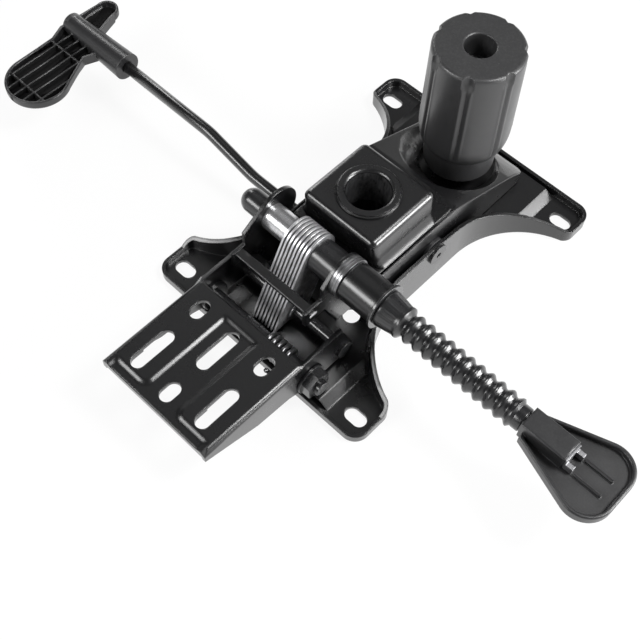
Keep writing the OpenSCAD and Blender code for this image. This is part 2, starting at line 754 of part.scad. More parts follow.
// Knob: plain skirt, round foot, tapered grip with thin grooves and a notch at the head of each
module tension_knob() {
    groove_r = 1.2;
    notch_r = 2.6;
    notch_len = 5;
    edge = 2.4;
    steps = 6;
    top_r = knob_r - grip_taper;
    neck_r = skirt_r + 0.4;
    lean_in = atan(grip_taper / (knob_top_z - grip_z));
    color(grip_black) translate([0, knob_y, 0]) difference() {
        rotate_extrude($fn = 96) polygon(concat(
            [[spring_room_r, skirt_z], [skirt_r, skirt_z]],
            [for (i = [0:steps]) [neck_r + (knob_r - neck_r) * sin(90 * i / steps),
                                  grip_z - (grip_z - step_z) * cos(90 * i / steps)]],
            [[top_r, knob_top_z - edge], [top_r - 0.3 * edge, knob_top_z - 0.3 * edge], [top_r - edge, knob_top_z],
             [knob_hole_r, knob_top_z], [knob_hole_r, web_z + web_t], [bolt_r + 1, web_z + web_t], [bolt_r + 1, web_z],
             [spring_room_r, web_z]]));
        for (i = [0:flutes - 1]) rotate(360 * i / flutes + flute_start) {
            translate([knob_r + 0.2, 0, step_z + 3]) rotate([0, -lean_in, 0])
                cylinder(r = groove_r, h = knob_top_z, $fn = 16);
            translate([top_r + 0.9, 0, knob_top_z - notch_len]) {
                sphere(r = notch_r, $fn = 24);
                cylinder(r = notch_r, h = far, $fn = 24);
            }
        }
        translate([0, 0, web_z + nut_floor]) hex(nut_flats + 2 * seat_gap, web_t);
    }
}
nut_flats = 3.4 * bolt_r;
nut_floor = 5;
module knob_nut() {
    nut_t = 9;
    color(bright_steel) translate([0, knob_y, web_z + nut_floor + seat_gap]) difference() {
        hex(nut_flats, nut_t);
        translate([0, 0, -1]) cylinder(r = bolt_r + run, h = nut_t + 2);
    }
}

// Back bracket

// Side wall: deep round the hinge and the link pin, shallow at the rear
module bracket_wall() {
    nose_r = 8;
    union() {
        translate([back_hinge_y, back_hinge_z]) circle(r = lug_r);
        translate([link_y, link_z]) circle(r = 7);
        polygon([[bracket_rear_y, bracket_z], [bracket_rear_y, bracket_z - nose_r],
                 [back_hinge_y - 42, back_hinge_z - 1.5], [back_hinge_y - 17, back_hinge_z - 4],
                 [back_hinge_y - 5, back_hinge_z - 8.6], [link_y, link_z - 6.9],
                 [link_y + 6.9, link_z + 1], [shaft_y - 22, bracket_z]]);
    }
}

// Backrest slots: three columns, long and short in turn
side_slot_x = 27;
slot_front_y = bracket_open_y - 14.5;
slot_rear_y = bracket_rear_y + 24.5;
module back_slots() {
    long = 31;
    short = 14;
    for (s = [-1, 1]) {
        translate([s * side_slot_x, slot_front_y]) slot(short, back_slot_w, 90);
        translate([s * side_slot_x, slot_rear_y]) slot(long, back_slot_w, 90);
    }
    translate([0, slot_front_y - 11]) slot(long, back_slot_w, 90);
    translate([0, slot_rear_y - 11]) slot(short, back_slot_w, 90);
}

// Pressed T: a bar round the centre slots and a strip along the rear edge
module tee(inset) {
    bar_x = 11;
    strip_y = bracket_rear_y + 20;
    translate([inset - bar_x, bracket_rear_y + 8]) square([2 * (bar_x - inset), bracket_open_y - 7 - inset - bracket_rear_y - 8]);
    translate([inset - bracket_x + 6, bracket_rear_y + inset + 4])
        square([2 * (bracket_x - 6 - inset), strip_y - bracket_rear_y - 2 * inset - 4]);
}

module back_bracket() {
    tee_depth = 1.5;
    rear_lip = 6;
    plate_len = bracket_open_y - bracket_rear_y;
    color(coat) difference() {
        union() {
            for (s = [0, 1]) mirror([s, 0, 0]) side_sheet(bracket_in_x, bracket_t) bracket_wall();
            translate([-bracket_x, bracket_rear_y, bracket_z - bracket_t]) cube([2 * bracket_x, plate_len, bracket_t]);
            translate([-bracket_x, bracket_rear_y, bracket_z - rear_lip]) cube([2 * bracket_x, bracket_t, rear_lip]);
            translate([0, 0, bracket_z - bracket_t - tee_depth]) linear_extrude(bracket_t) tee(-1);
        }
        translate([0, 0, bracket_z - tee_depth]) linear_extrude(tee_depth + 1) tee(0);
        translate([0, 0, bracket_z - 2 * bracket_t - 2]) linear_extrude(2 * bracket_t + 4) back_slots();
        xrod(-far / 2, far / 2, back_bolt_r + 2, back_hinge_y, back_hinge_z);
        xrod(-far / 2, far / 2, link_pin_r + run, link_y, link_z);
    }
}

// Flanged bushes on the back hinge bolt
module back_bushes() {
    flange_r = back_bolt_r + 4;
    flange_x = lug_x + 0.15;
    color(nylon) for (s = [0, 1]) mirror([s, 0, 0]) difference() {
        union() {
            xrod(flange_x, bracket_x, back_bolt_r + 2 - seat_gap, back_hinge_y, back_hinge_z);
            xrod(flange_x, bracket_in_x - seat_gap, flange_r, back_hinge_y, back_hinge_z);
        }
        xrod(0, far, back_bolt_r + run, back_hinge_y, back_hinge_z);
    }
}

module link_pin() {
    head_t = 1.6;
    head_r = link_pin_r + 2;
    end_x = bracket_x + seat_gap;
    color(bright_steel) {
        xrod(-end_x - head_t, end_x + head_t, link_pin_r, link_y, link_z);
        for (s = [0, 1]) mirror([s, 0, 0]) xrod(end_x, end_x + head_t, head_r, link_y, link_z);
    }
}

// Spring clips on the link pin, one each side of the plate pack
module link_clips() {
    clip_t = 1.2;
    color(bright_steel) for (x = [pack_x - clip_t - pass_gap, pack_right_x + pass_gap])
        xring(x, x + clip_t, link_pin_r + 3, link_pin_r + run, link_y, link_z);
}

// Torsion spring on the back hinge bolt: one leg on the pan, one under the bracket's plate
module return_spring() {
    wire = 3.2;
    coil_r = back_bolt_r + 0.6 + wire / 2;
    turns = 5;
    pitch = wire + 0.8;
    rings = 8;
    start_x = pack_right_x + 5;
    coil = [for (i = [0:turns * rings])
        let (t = i / rings)
        [start_x + pitch * t, back_hinge_y + coil_r * sin(360 * t), back_hinge_z - coil_r * cos(360 * t)]];
    top = bracket_z - bracket_t - wire / 2 - 0.3;
    legs_end = [[start_x + pitch * turns, back_hinge_y - 12, back_hinge_z - coil_r + 4],
                [start_x + pitch * turns, back_hinge_y - 20, top]];
    echo(str("return spring, least gap between turns: ", least_gap(coil, rings, wire), " mm"));
    color(dark_steel) tube(concat(coil, legs_end), wire / 2);
}

// Lamella plates

// A plate: round head on the shaft, straight sides, slot for the link pin, foot cut level
module lamella_outline() {
    foot = (shaft_z - lamella_foot_z) / cos(lean) + lamella_r;
    difference() {
        intersection() {
            translate([shaft_y, shaft_z]) union() {
                circle(r = lamella_r);
                rotate(-lean) translate([-lamella_r, -foot]) square([2 * lamella_r, foot]);
            }
            translate([shaft_y - far / 2, lamella_foot_z]) square(far);
        }
        translate([shaft_y, shaft_z]) {
            circle(r = shaft_r + run);
            rotate(-lean) translate([0, -link_reach + link_travel / 2])
                slot(link_travel + 2 * (link_pin_r + link_side), 2 * (link_pin_r + link_side), 90);
        }
    }
}
module lamella(i) {
    color(bright_steel) side_sheet(pack_x + i * lamella_pitch, lamella_t) lamella_outline();
}

// Clamp lever

module cam_sleeve() {
    color(coat) xring(sleeve_x, sleeve_x + sleeve_len, sleeve_r, shaft_r + run, shaft_y, shaft_z);
}
module rim_washer() {
    color(bright_steel) xring(washer_x, washer_x + rim_t, sleeve_r + 2, shaft_r + run, shaft_y, shaft_z);
}
module lever_core() {
    color(dark_steel) xrod(cone_x + core_start, clamp_paddle_x + core_reach, core_r, shaft_y, shaft_z);
}

// Moulded grip: a cone against the washer, round ribs, and a plain collar
module lever_grip() {
    cone_r = 12;
    neck_r = 9.8;
    steps = 3;
    outline = concat(
        [[core_r + seat_gap, 0], [cone_r, 0], [neck_r, cone_len]],
        [for (i = [0:ribs - 1], k = [0:steps])
            [rib_root_r + (rib_r - rib_root_r) * sin(180 * k / steps), cone_len + rib_pitch * (i + 0.5 + 0.5 * k / steps)]],
        [[rib_root_r, grip_end_x - cone_x], [core_r + seat_gap, grip_end_x - cone_x]]);
    color(grip_black) translate([cone_x, shaft_y, shaft_z]) difference() {
        rotate([0, 90, 0]) rotate_extrude() polygon(outline);
        xrod(-1, core_start - 0.5, shaft_r + run);
    }
}

// Spade paddle on the end of the lever: sides flare from a neck to two round corners
module spade(inset) {
    neck_x = clamp_paddle_x + 2.5;
    neck_half = 10;
    corner_r = 16;
    corner = [clamp_paddle_x + clamp_paddle_len - corner_r, spade_half - corner_r];
    reach = [corner.x - neck_x, corner.y - neck_half];
    flare = atan2(reach.y, reach.x) + asin(corner_r / norm(reach));
    touch = corner + corner_r * [-sin(flare), cos(flare)];
    in = inset * [sin(flare), -cos(flare)];
    translate([0, shaft_y]) for (s = [0, 1]) mirror([0, s]) {
        translate(corner) circle(r = corner_r - inset);
        polygon([[neck_x + inset, -eps], [neck_x + inset, neck_half + in.y + inset * tan(flare)],
                 touch + in, [touch.x, -eps]]);
        translate([corner.x - corner_r / 2, -eps]) square([1.5 * corner_r - inset, corner.y + eps]);
    }
}
hub_len = 29;
module clamp_paddle() {
    base_z = shaft_z - 6;
    rim_h = 6.5;
    floor_t = 2.5;
    rim_t = 2.6;
    block_w = 14.5;
    rib_gap = 7;
    block_top = shaft_z + 8;
    rib_w = 1.6;
    color(grip_black) difference() {
        union() {
            difference() {
                translate([0, 0, base_z]) linear_extrude(rim_h) spade(0);
                translate([0, 0, base_z + floor_t]) linear_extrude(rim_h) spade(rim_t);
            }
            translate([clamp_paddle_x, shaft_y - block_w / 2, base_z]) cube([hub_len, block_w, block_top - base_z]);
            for (s = [-1, 1]) translate([clamp_paddle_x + hub_len + rib_gap, shaft_y + s * 5.5 - rib_w / 2, base_z])
                cube([18, rib_w, floor_t + 1.6]);
        }
        xrod(clamp_paddle_x - 1, clamp_paddle_x + core_reach + seat_gap, core_r + seat_gap, shaft_y, shaft_z);
    }
}

// Spring clip that keeps the paddle on the core
module paddle_clip() {
    clip_w = 13;
    leg = 6;
    t = 1.4;
    clip_z = shaft_z - 3;
    x = clamp_paddle_x + hub_len + seat_gap;
    color(dark_steel) {
        translate([x, shaft_y - clip_w / 2, clip_z]) cube([t, clip_w, 9.5]);
        for (s = [-1, 1]) translate([x, shaft_y + s * (clip_w / 2 - 1.5) - 1.5, clip_z]) cube([leg, 3, 5]);
    }
}

// Height lever

// Rod: straight through the carrier, an S up to the paddle, straight into the socket
function joggle_arc(a0, a1, cx, cz, steps) = [
    for (i = [0:steps]) let (a = a0 + (a1 - a0) * i / steps)
        [cx + joggle_bend_r * cos(a), rod_y, cz + joggle_bend_r * sin(a)]];
module height_rod() {
    inner_x = finger_x;
    tip_x = paddle_mouth_x - paddle_len + 8;
    steps = 5;
    color(coat) difference() {
        tube(concat(
            [[inner_x, rod_y, rod_z], [inner_x - 30, rod_y, rod_z]],
            joggle_arc(-90, -90 - joggle_a, joggle_x, rod_z + joggle_bend_r, steps),
            joggle_arc(90 - joggle_a, 90, outer_rod_x, outer_rod_z - joggle_bend_r, steps),
            [[outer_rod_x - 20, rod_y, outer_rod_z], [tip_x, rod_y, outer_rod_z]]), rod_r, 24);
        translate([pivot_x, rod_y - far / 2, rod_z]) rotate([-90, 0, 0]) cylinder(r = pivot_r + seat_gap, h = far);
    }
}

// Cross pin that the height lever rocks on
module lever_pin() {
    color(dark_steel) translate([pivot_x, rod_y - block_half, rod_z]) rotate([-90, 0, 0])
        cylinder(r = pivot_r, h = 2 * block_half);
}

// Finger on the inner end, which reaches under the gas lift's button
module lever_finger() {
    tongue_w = 9;
    tongue_t = 3.5;
    tip = [0, gas_y - rod_y];
    root = [finger_x - finger_len / 2, 0];
    color(dark_steel) translate([0, rod_y, rod_z]) difference() {
        union() {
            xrod(finger_x - finger_len, finger_x, finger_r);
            translate([0, 0, -finger_r + 0.5]) linear_extrude(tongue_t) {
                translate(tip) circle(r = 6);
                translate(root) rotate(atan2(tip.y - root.y, tip.x - root.x))
                    translate([0, -tongue_w / 2]) square([norm(tip - root), tongue_w]);
            }
        }
        xrod(finger_x - finger_len - 1, finger_x + 1, rod_r + run);
    }
}

// Paddle: a socket on the rod, a large lobe behind it and a small one in front
module paddle_outline(inset) {
    end_x = paddle_mouth_x - paddle_len;
    lobe = [end_x + lobe_r + 3.5, rod_y - lobe_reach];
    small_r = 8.6;
    small = [end_x + small_r, rod_y + 25];
    translate(lobe) circle(r = lobe_r - inset);
    translate(small) circle(r = small_r - inset);
    polygon([[lobe.x - lobe_r + inset, lobe.y], [lobe.x - lobe_r + inset, rod_y - 20], [end_x - 1 + inset, rod_y - 9],
             [end_x + inset, small.y], [small.x + small_r - inset, small.y], [end_x + 24 - inset, rod_y + 3],
             [end_x + 38 - inset, rod_y - 7], [end_x + 34 - inset, rod_y - 17],
             [lobe.x + 0.94 * (lobe_r - inset), lobe.y + 0.34 * (lobe_r - inset)], [lobe.x, lobe.y]]);
}
module height_paddle() {
    end_x = paddle_mouth_x - paddle_len;
    lobe_x = end_x + lobe_r + 3.5;
    base_z = outer_rod_z - 5;
    rim_h = 7;
    skin = 2;
    rim_t = 2;
    rib_t = 1.3;
    rib_step = 8;
    color(grip_black) difference() {
        union() {
            difference() {
                translate([0, 0, base_z]) linear_extrude(rim_h) paddle_outline(0);
                translate([0, 0, base_z + skin]) linear_extrude(rim_h) paddle_outline(rim_t);
            }
            intersection() {
                translate([0, 0, base_z + 0.5]) linear_extrude(rim_h - 1.2) paddle_outline(1);
                union() {
                    for (i = [-2:2]) translate([lobe_x + i * rib_step - rib_t / 2, rod_y - far, 0])
                        cube([rib_t, far, far]);
                    for (d = [22, lobe_reach + 10]) translate([-far, rod_y - d, 0]) cube([far, rib_t, far]);
                }
            }
            translate([end_x, rod_y, outer_rod_z]) rotate([0, 90, 0])
                cylinder(r1 = socket_end_r, r2 = socket_r, h = paddle_len);
        }
        xrod(end_x + 8 - seat_gap, paddle_mouth_x + 1, rod_r + seat_gap, rod_y, outer_rod_z);
    }
}

seat_pan();
carrier_hinge_pins();
hinge_bracket();
back_hinge_bolt();
back_hinge_nut();
clamp_yoke();
yoke_rivets();
tie_bar();
clamp_shaft();
shaft_cap();
spacer_tube();
friction_discs();
pack_collar();
disc_springs();
tension_bolt();
carrier_channel();
gas_saddle();
taper_socket();
hinge_bushes();
rod_bush();
thrust_washer();
tension_spring();
tension_knob();
knob_nut();
back_bracket();
back_bushes();
link_pin();
link_clips();
return_spring();
cam_sleeve();
rim_washer();
lever_core();
lever_grip();
clamp_paddle();
paddle_clip();
height_rod();
lever_pin();
lever_finger();
height_paddle();
for (i = [0:lamella_count - 1])
    lamella(i);
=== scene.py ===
# %% [markdown]
# # Office chair tilt mechanism
# The mechanism lies on a bench with its seat face down, as a spare part is photographed.
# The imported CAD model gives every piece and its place, so this lesson only dresses it: finishes,
# round edges, pressed and moulded forms that stand for their solids, bare steel, a stage, lamps
# and a camera. All lengths are in metres.

# %% Load the CAD model
import json
import math

import bmesh
import bpy
from mathutils import Matrix, Vector


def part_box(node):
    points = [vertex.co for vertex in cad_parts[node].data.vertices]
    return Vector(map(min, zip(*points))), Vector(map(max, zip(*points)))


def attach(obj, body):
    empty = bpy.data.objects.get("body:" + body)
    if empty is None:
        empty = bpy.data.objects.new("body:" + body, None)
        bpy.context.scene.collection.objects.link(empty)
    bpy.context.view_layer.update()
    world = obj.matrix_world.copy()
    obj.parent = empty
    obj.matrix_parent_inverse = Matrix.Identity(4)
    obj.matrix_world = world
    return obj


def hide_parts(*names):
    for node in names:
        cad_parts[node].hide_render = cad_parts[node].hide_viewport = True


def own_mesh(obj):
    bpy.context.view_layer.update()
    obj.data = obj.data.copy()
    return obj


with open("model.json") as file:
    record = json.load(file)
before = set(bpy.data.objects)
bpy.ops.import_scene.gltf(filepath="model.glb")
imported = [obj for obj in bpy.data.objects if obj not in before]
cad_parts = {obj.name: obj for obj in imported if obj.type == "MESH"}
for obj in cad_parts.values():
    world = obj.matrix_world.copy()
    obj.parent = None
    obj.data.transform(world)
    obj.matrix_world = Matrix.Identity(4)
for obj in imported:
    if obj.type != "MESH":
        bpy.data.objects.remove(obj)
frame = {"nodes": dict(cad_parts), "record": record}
nodes = frame["nodes"]
scene = bpy.context.scene
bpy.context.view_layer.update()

# %% [markdown]
# ## Camera
# A product photograph taken from above and to the right, with a normal lens close to the part.
# The camera could be placed by hand and tracked to an empty, but then nothing says why it is
# there. Here it is set by the point it looks at, two angles, a roll and a distance. The small
# shift puts the optical centre where the photograph has it, beside the middle of the frame.

# %% Camera
VIEW_AZIMUTH = math.radians(43.22)
VIEW_ELEVATION = math.radians(60.24)
VIEW_ROLL = math.radians(1.01)
VIEW_DISTANCE = 0.65112
LOOK_AT = Vector((0.01221, -0.0715, 0.0))
FILM_WIDTH_MM = 36
FOCAL_LENGTH_MM = 58.19
FILM_SHIFT = (0.0104, 0.0086)
NEAREST_SEEN = 0.01

back = Vector((math.sin(VIEW_AZIMUTH) * math.cos(VIEW_ELEVATION),
               -math.cos(VIEW_AZIMUTH) * math.cos(VIEW_ELEVATION),
               math.sin(VIEW_ELEVATION)))
right = (-back).cross(Vector((0, 0, 1))).normalized()
up = right.cross(-back)
right, up = (math.cos(VIEW_ROLL) * right + math.sin(VIEW_ROLL) * up,
             math.cos(VIEW_ROLL) * up - math.sin(VIEW_ROLL) * right)

lens = bpy.data.cameras.new("bench_camera")
lens.sensor_width = FILM_WIDTH_MM
lens.lens = FOCAL_LENGTH_MM
lens.shift_x, lens.shift_y = FILM_SHIFT
lens.clip_start = NEAREST_SEEN
camera = bpy.data.objects.new("bench_camera", lens)
facing = Matrix((right, up, back)).transposed().to_4x4()
camera.matrix_world = Matrix.Translation(LOOK_AT + back * VIEW_DISTANCE) @ facing
scene.collection.objects.link(camera)
scene.camera = camera
scene.view_settings.view_transform = "Standard"
print("camera at", [round(x, 3) for x in camera.location])

# %% [markdown]
# ## Shader helpers
# Every finish below is a small node tree. One helper adds a node, sets its values and returns
# it, and another draws the links, so that each material reads as a list of what feeds what.

# %% Shader helpers
def add(tree, kind, **values):
    """Adds a shader node, setting properties by name and inputs by socket name."""
    made = tree.nodes.new(kind)
    for key, value in values.items():
        if hasattr(made, key):
            setattr(made, key, value)
        else:
            made.inputs[key.replace("_", " ")].default_value = value
    return made


def wire(tree, *links):
    """Links sockets, each link written as where it comes from and where it goes."""
    for source, target in links:
        tree.links.new(source, target)


def start_group(name, inputs, outputs):
    """Starts a shader node group with named inputs, numbers or colours, and named outputs."""
    group = bpy.data.node_groups.new(name, "ShaderNodeTree")
    for label, value in inputs.items():
        kind = "NodeSocketColor" if isinstance(value, tuple) else "NodeSocketFloat"
        group.interface.new_socket(label, in_out="INPUT", socket_type=kind).default_value = value
    for label, kind in outputs.items():
        group.interface.new_socket(label, in_out="OUTPUT", socket_type=kind)
    return group, group.nodes.new("NodeGroupInput"), group.nodes.new("NodeGroupOutput")


# %% [markdown]
# ## Shared effects
# Four effects turn up on more than one finish. Grain is the fine tooth of a powder coat or a
# moulding. Handling is the uneven gloss of a part that has been picked up, with dust lying on
# faces that look up. Turning is the line pattern that a lathe or a shear leaves on steel.
# Rubbing is the paler line along an edge, where a coat is thin and hands and boxes rub it.
# Turned up on the paddles, the pin and the washer, the same line is also a painted highlight.
# Each could be copied into every material, but as a node group it is drawn once and tuned there.

# %% Grain
BROAD_SHARE = 0.12

grain, grain_in, grain_out = start_group(
    "fine_grain", {"Size": 0.001, "Waviness": 0.3}, {"Height": "NodeSocketFloat"})
place = add(grain, "ShaderNodeTexCoord")
per_size = add(grain, "ShaderNodeMath", operation="DIVIDE")
per_size.inputs[0].default_value = 1.0
fine = add(grain, "ShaderNodeTexNoise", Detail=2.0, Roughness=0.6)
broad_scale = add(grain, "ShaderNodeMath", operation="MULTIPLY")
broad_scale.inputs[1].default_value = BROAD_SHARE
broad = add(grain, "ShaderNodeTexNoise", Detail=1.0)
blend = add(grain, "ShaderNodeMix", data_type="FLOAT")
wire(grain,
     (grain_in.outputs["Size"], per_size.inputs[1]),
     (place.outputs["Object"], fine.inputs["Vector"]),
     (place.outputs["Object"], broad.inputs["Vector"]),
     (per_size.outputs[0], fine.inputs["Scale"]),
     (per_size.outputs[0], broad_scale.inputs[0]),
     (broad_scale.outputs[0], broad.inputs["Scale"]),
     (grain_in.outputs["Waviness"], blend.inputs["Factor"]),
     (fine.outputs["Fac"], blend.inputs["A"]),
     (broad.outputs["Fac"], blend.inputs["B"]),
     (blend.outputs["Result"], grain_out.inputs["Height"]))
print("group", grain.name)

# %% Handling
handling, handling_in, handling_out = start_group(
    "handling", {"Base": (0.02, 0.02, 0.02, 1.0), "Dusty": (0.2, 0.2, 0.2, 1.0), "Dust": 0.1,
                 "Low Gloss": 0.5, "High Gloss": 0.3},
    {"Color": "NodeSocketColor", "Roughness": "NodeSocketFloat"})
place = add(handling, "ShaderNodeTexCoord")
normal = add(handling, "ShaderNodeNewGeometry")
upward = add(handling, "ShaderNodeSeparateXYZ")
patches = add(handling, "ShaderNodeTexNoise", Scale=55.0, Detail=4.0, Roughness=0.62)
specks = add(handling, "ShaderNodeTexNoise", Scale=900.0, Detail=2.0)
settle = add(handling, "ShaderNodeMapRange", From_Min=0.2, From_Max=1.0)
speckled = add(handling, "ShaderNodeMapRange", From_Min=0.45, From_Max=0.75)
on_top = add(handling, "ShaderNodeMath", operation="MULTIPLY")
amount = add(handling, "ShaderNodeMath", operation="MULTIPLY", use_clamp=True)
tint = add(handling, "ShaderNodeMix", data_type="RGBA")
contrast = add(handling, "ShaderNodeMapRange", From_Min=0.3, From_Max=0.7)
gloss = add(handling, "ShaderNodeMix", data_type="FLOAT")
wire(handling,
     (place.outputs["Object"], patches.inputs["Vector"]),
     (place.outputs["Object"], specks.inputs["Vector"]),
     (normal.outputs["Normal"], upward.inputs[0]),
     (upward.outputs["Z"], settle.inputs["Value"]),
     (specks.outputs["Fac"], speckled.inputs["Value"]),
     (settle.outputs["Result"], on_top.inputs[0]),
     (speckled.outputs["Result"], on_top.inputs[1]),
     (on_top.outputs[0], amount.inputs[0]),
     (handling_in.outputs["Dust"], amount.inputs[1]),
     (amount.outputs[0], tint.inputs["Factor"]),
     (handling_in.outputs["Base"], tint.inputs["A"]),
     (handling_in.outputs["Dusty"], tint.inputs["B"]),
     (patches.outputs["Fac"], contrast.inputs["Value"]),
     (contrast.outputs["Result"], gloss.inputs["Factor"]),
     (handling_in.outputs["High Gloss"], gloss.inputs["A"]),
     (handling_in.outputs["Low Gloss"], gloss.inputs["B"]),
     (tint.outputs["Result"], handling_out.inputs["Color"]),
     (gloss.outputs["Result"], handling_out.inputs["Roughness"]))
print("group", handling.name)

# %% Turning
turning, turning_in, turning_out = start_group(
    "turning_marks", {"Along": 6000.0, "Round": 120.0, "Dark": (0.3, 0.3, 0.31, 1.0),
                      "Light": (0.7, 0.7, 0.72, 1.0)},
    {"Color": "NodeSocketColor", "Height": "NodeSocketFloat"})
place = add(turning, "ShaderNodeTexCoord")
stretch = add(turning, "ShaderNodeCombineXYZ")
spread = add(turning, "ShaderNodeVectorMath", operation="MULTIPLY")
lines = add(turning, "ShaderNodeTexNoise", Scale=1.0, Detail=3.0, Roughness=0.7)
shade = add(turning, "ShaderNodeMapRange", From_Min=0.3, From_Max=0.7)
colour = add(turning, "ShaderNodeMix", data_type="RGBA")
wire(turning,
     (turning_in.outputs["Along"], stretch.inputs["X"]),
     (turning_in.outputs["Round"], stretch.inputs["Y"]),
     (turning_in.outputs["Round"], stretch.inputs["Z"]),
     (place.outputs["Object"], spread.inputs[0]),
     (stretch.outputs["Vector"], spread.inputs[1]),
     (spread.outputs["Vector"], lines.inputs["Vector"]),
     (lines.outputs["Fac"], shade.inputs["Value"]),
     (shade.outputs["Result"], colour.inputs["Factor"]),
     (turning_in.outputs["Dark"], colour.inputs["A"]),
     (turning_in.outputs["Light"], colour.inputs["B"]),
     (colour.outputs["Result"], turning_out.inputs["Color"]),
     (lines.outputs["Fac"], turning_out.inputs["Height"]))
print("group", turning.name)

# %% Rubbing and painted edge highlight
# A rounded normal differs from the true one only near an edge, so their dot product finds it.
# There the colour turns paler: rubbed wear, and where the amount is high a painted highlight.
rub_and_highlight, rub_highlight_in, rub_highlight_out = start_group(
    "rubbed_and_highlit_edges", {"Reach": 0.0008, "Color": (0.02, 0.02, 0.02, 1.0),
                     "Rubbed": (0.2, 0.2, 0.2, 1.0), "Amount": 0.3},
    {"Color": "NodeSocketColor"})
rounded = add(rub_and_highlight, "ShaderNodeBevel", samples=4)
straight = add(rub_and_highlight, "ShaderNodeNewGeometry")
likeness = add(rub_and_highlight, "ShaderNodeVectorMath", operation="DOT_PRODUCT")
edge = add(rub_and_highlight, "ShaderNodeMapRange", From_Min=0.99, From_Max=0.82)
place = add(rub_and_highlight, "ShaderNodeTexCoord")
scuffs = add(rub_and_highlight, "ShaderNodeTexNoise", Scale=240.0, Detail=3.0)
uneven = add(rub_and_highlight, "ShaderNodeMapRange", From_Min=0.35, From_Max=0.65)
patchy = add(rub_and_highlight, "ShaderNodeMath", operation="MULTIPLY")
share = add(rub_and_highlight, "ShaderNodeMath", operation="MULTIPLY", use_clamp=True)
blend = add(rub_and_highlight, "ShaderNodeMix", data_type="RGBA")
wire(rub_and_highlight,
     (rub_highlight_in.outputs["Reach"], rounded.inputs["Radius"]),
     (rounded.outputs["Normal"], likeness.inputs[0]),
     (straight.outputs["Normal"], likeness.inputs[1]),
     (likeness.outputs["Value"], edge.inputs["Value"]),
     (place.outputs["Object"], scuffs.inputs["Vector"]),
     (scuffs.outputs["Fac"], uneven.inputs["Value"]),
     (edge.outputs["Result"], patchy.inputs[0]),
     (uneven.outputs["Result"], patchy.inputs[1]),
     (patchy.outputs[0], share.inputs[0]),
     (rub_highlight_in.outputs["Amount"], share.inputs[1]),
     (share.outputs[0], blend.inputs["Factor"]),
     (rub_highlight_in.outputs["Color"], blend.inputs["A"]),
     (rub_highlight_in.outputs["Rubbed"], blend.inputs["B"]),
     (blend.outputs["Result"], rub_highlight_out.inputs["Color"]))
print("group", rub_and_highlight.name)

# %% [markdown]
# ## Finishes
# The pressed steel is painted black: nearly all of its look is what it mirrors, broad and soft
# on the flats and bright on every fold, with a faint orange peel. The rod is smoother. The
# ribbed grip is a shiny black moulding. Knob and paddles are charcoal mouldings with a fine
# grain. The plates, tube and washers are bare or plated steel. Two recipes cover them all, one
# for coats and mouldings and one for bare metal, because within each only the numbers differ.
# A bevel node bends the normal near an edge by the radius of a press tool, which a modifier
# can't do on thin sheet.

# %% Two recipes
RUB_SHARE = 0.6
TOOTH_SHARE = 0.3
MARK_DEPTH = 0.0001


def start_material(name):
    """An empty material with its Principled shader and output linked."""
    made = bpy.data.materials.new(name)
    made.use_nodes = True
    tree = made.node_tree
    tree.nodes.clear()
    shader = tree.nodes.new("ShaderNodeBsdfPrincipled")
    surface = tree.nodes.new("ShaderNodeOutputMaterial")
    tree.links.new(shader.outputs[0], surface.inputs["Surface"])
    return made, tree, shader


def place_group(tree, group, **values):
    """Places a shared effect in a material with its own values."""
    made = tree.nodes.new("ShaderNodeGroup")
    made.node_tree = group
    for key, value in values.items():
        made.inputs[key.replace("_", " ")].default_value = value
    return made


def coated(name, base, dust_and_highlight_tone, dust, gloss, tooth, waviness, bump, lacquer, fold, rubbed_and_lit, mirror=0.5):
    """A coat or a moulding: dark colour, uneven gloss, a little dust, a fine tooth, soft folds."""
    made, tree, shader = start_material(name)
    pale = (dust_and_highlight_tone, dust_and_highlight_tone, dust_and_highlight_tone, 1)
    shader.inputs["Coat Weight"].default_value = lacquer
    shader.inputs["Coat Roughness"].default_value = gloss[0]
    shader.inputs["Specular IOR Level"].default_value = mirror
    touch = place_group(tree, handling, Base=(*base, 1), Dusty=pale, Dust=dust,
                        Low_Gloss=gloss[1], High_Gloss=gloss[0])
    # Paler edges: rubbed wear on the coat, and on the paddles, pin and washer a painted highlight
    # too.
    edges = place_group(tree, rub_and_highlight, Reach=fold * RUB_SHARE, Rubbed=pale, Amount=rubbed_and_lit)
    peel = place_group(tree, grain, Size=tooth, Waviness=waviness)
    relief = add(tree, "ShaderNodeBump", Strength=bump, Distance=tooth * TOOTH_SHARE)
    soft = add(tree, "ShaderNodeBevel", samples=6, Radius=fold)
    wire(tree,
         (touch.outputs["Color"], edges.inputs["Color"]),
         (edges.outputs["Color"], shader.inputs["Base Color"]),
         (touch.outputs["Roughness"], shader.inputs["Roughness"]),
         (peel.outputs["Height"], relief.inputs["Height"]),
         (soft.outputs["Normal"], relief.inputs["Normal"]),
         (relief.outputs["Normal"], shader.inputs["Normal"]))
    return made


def bare_metal(name, dark, light, along, rough, bump, metallic):
    """Bare or plated steel with turning or shearing lines across X."""
    made, tree, shader = start_material(name)
    shader.inputs["Metallic"].default_value = metallic
    shader.inputs["Roughness"].default_value = rough
    marks = place_group(tree, turning, Along=along, Dark=(*dark, 1), Light=(*light, 1))
    relief = add(tree, "ShaderNodeBump", Strength=bump, Distance=MARK_DEPTH)
    wire(tree,
         (marks.outputs["Color"], shader.inputs["Base Color"]),
         (marks.outputs["Height"], relief.inputs["Height"]),
         (relief.outputs["Normal"], shader.inputs["Normal"]))
    return made


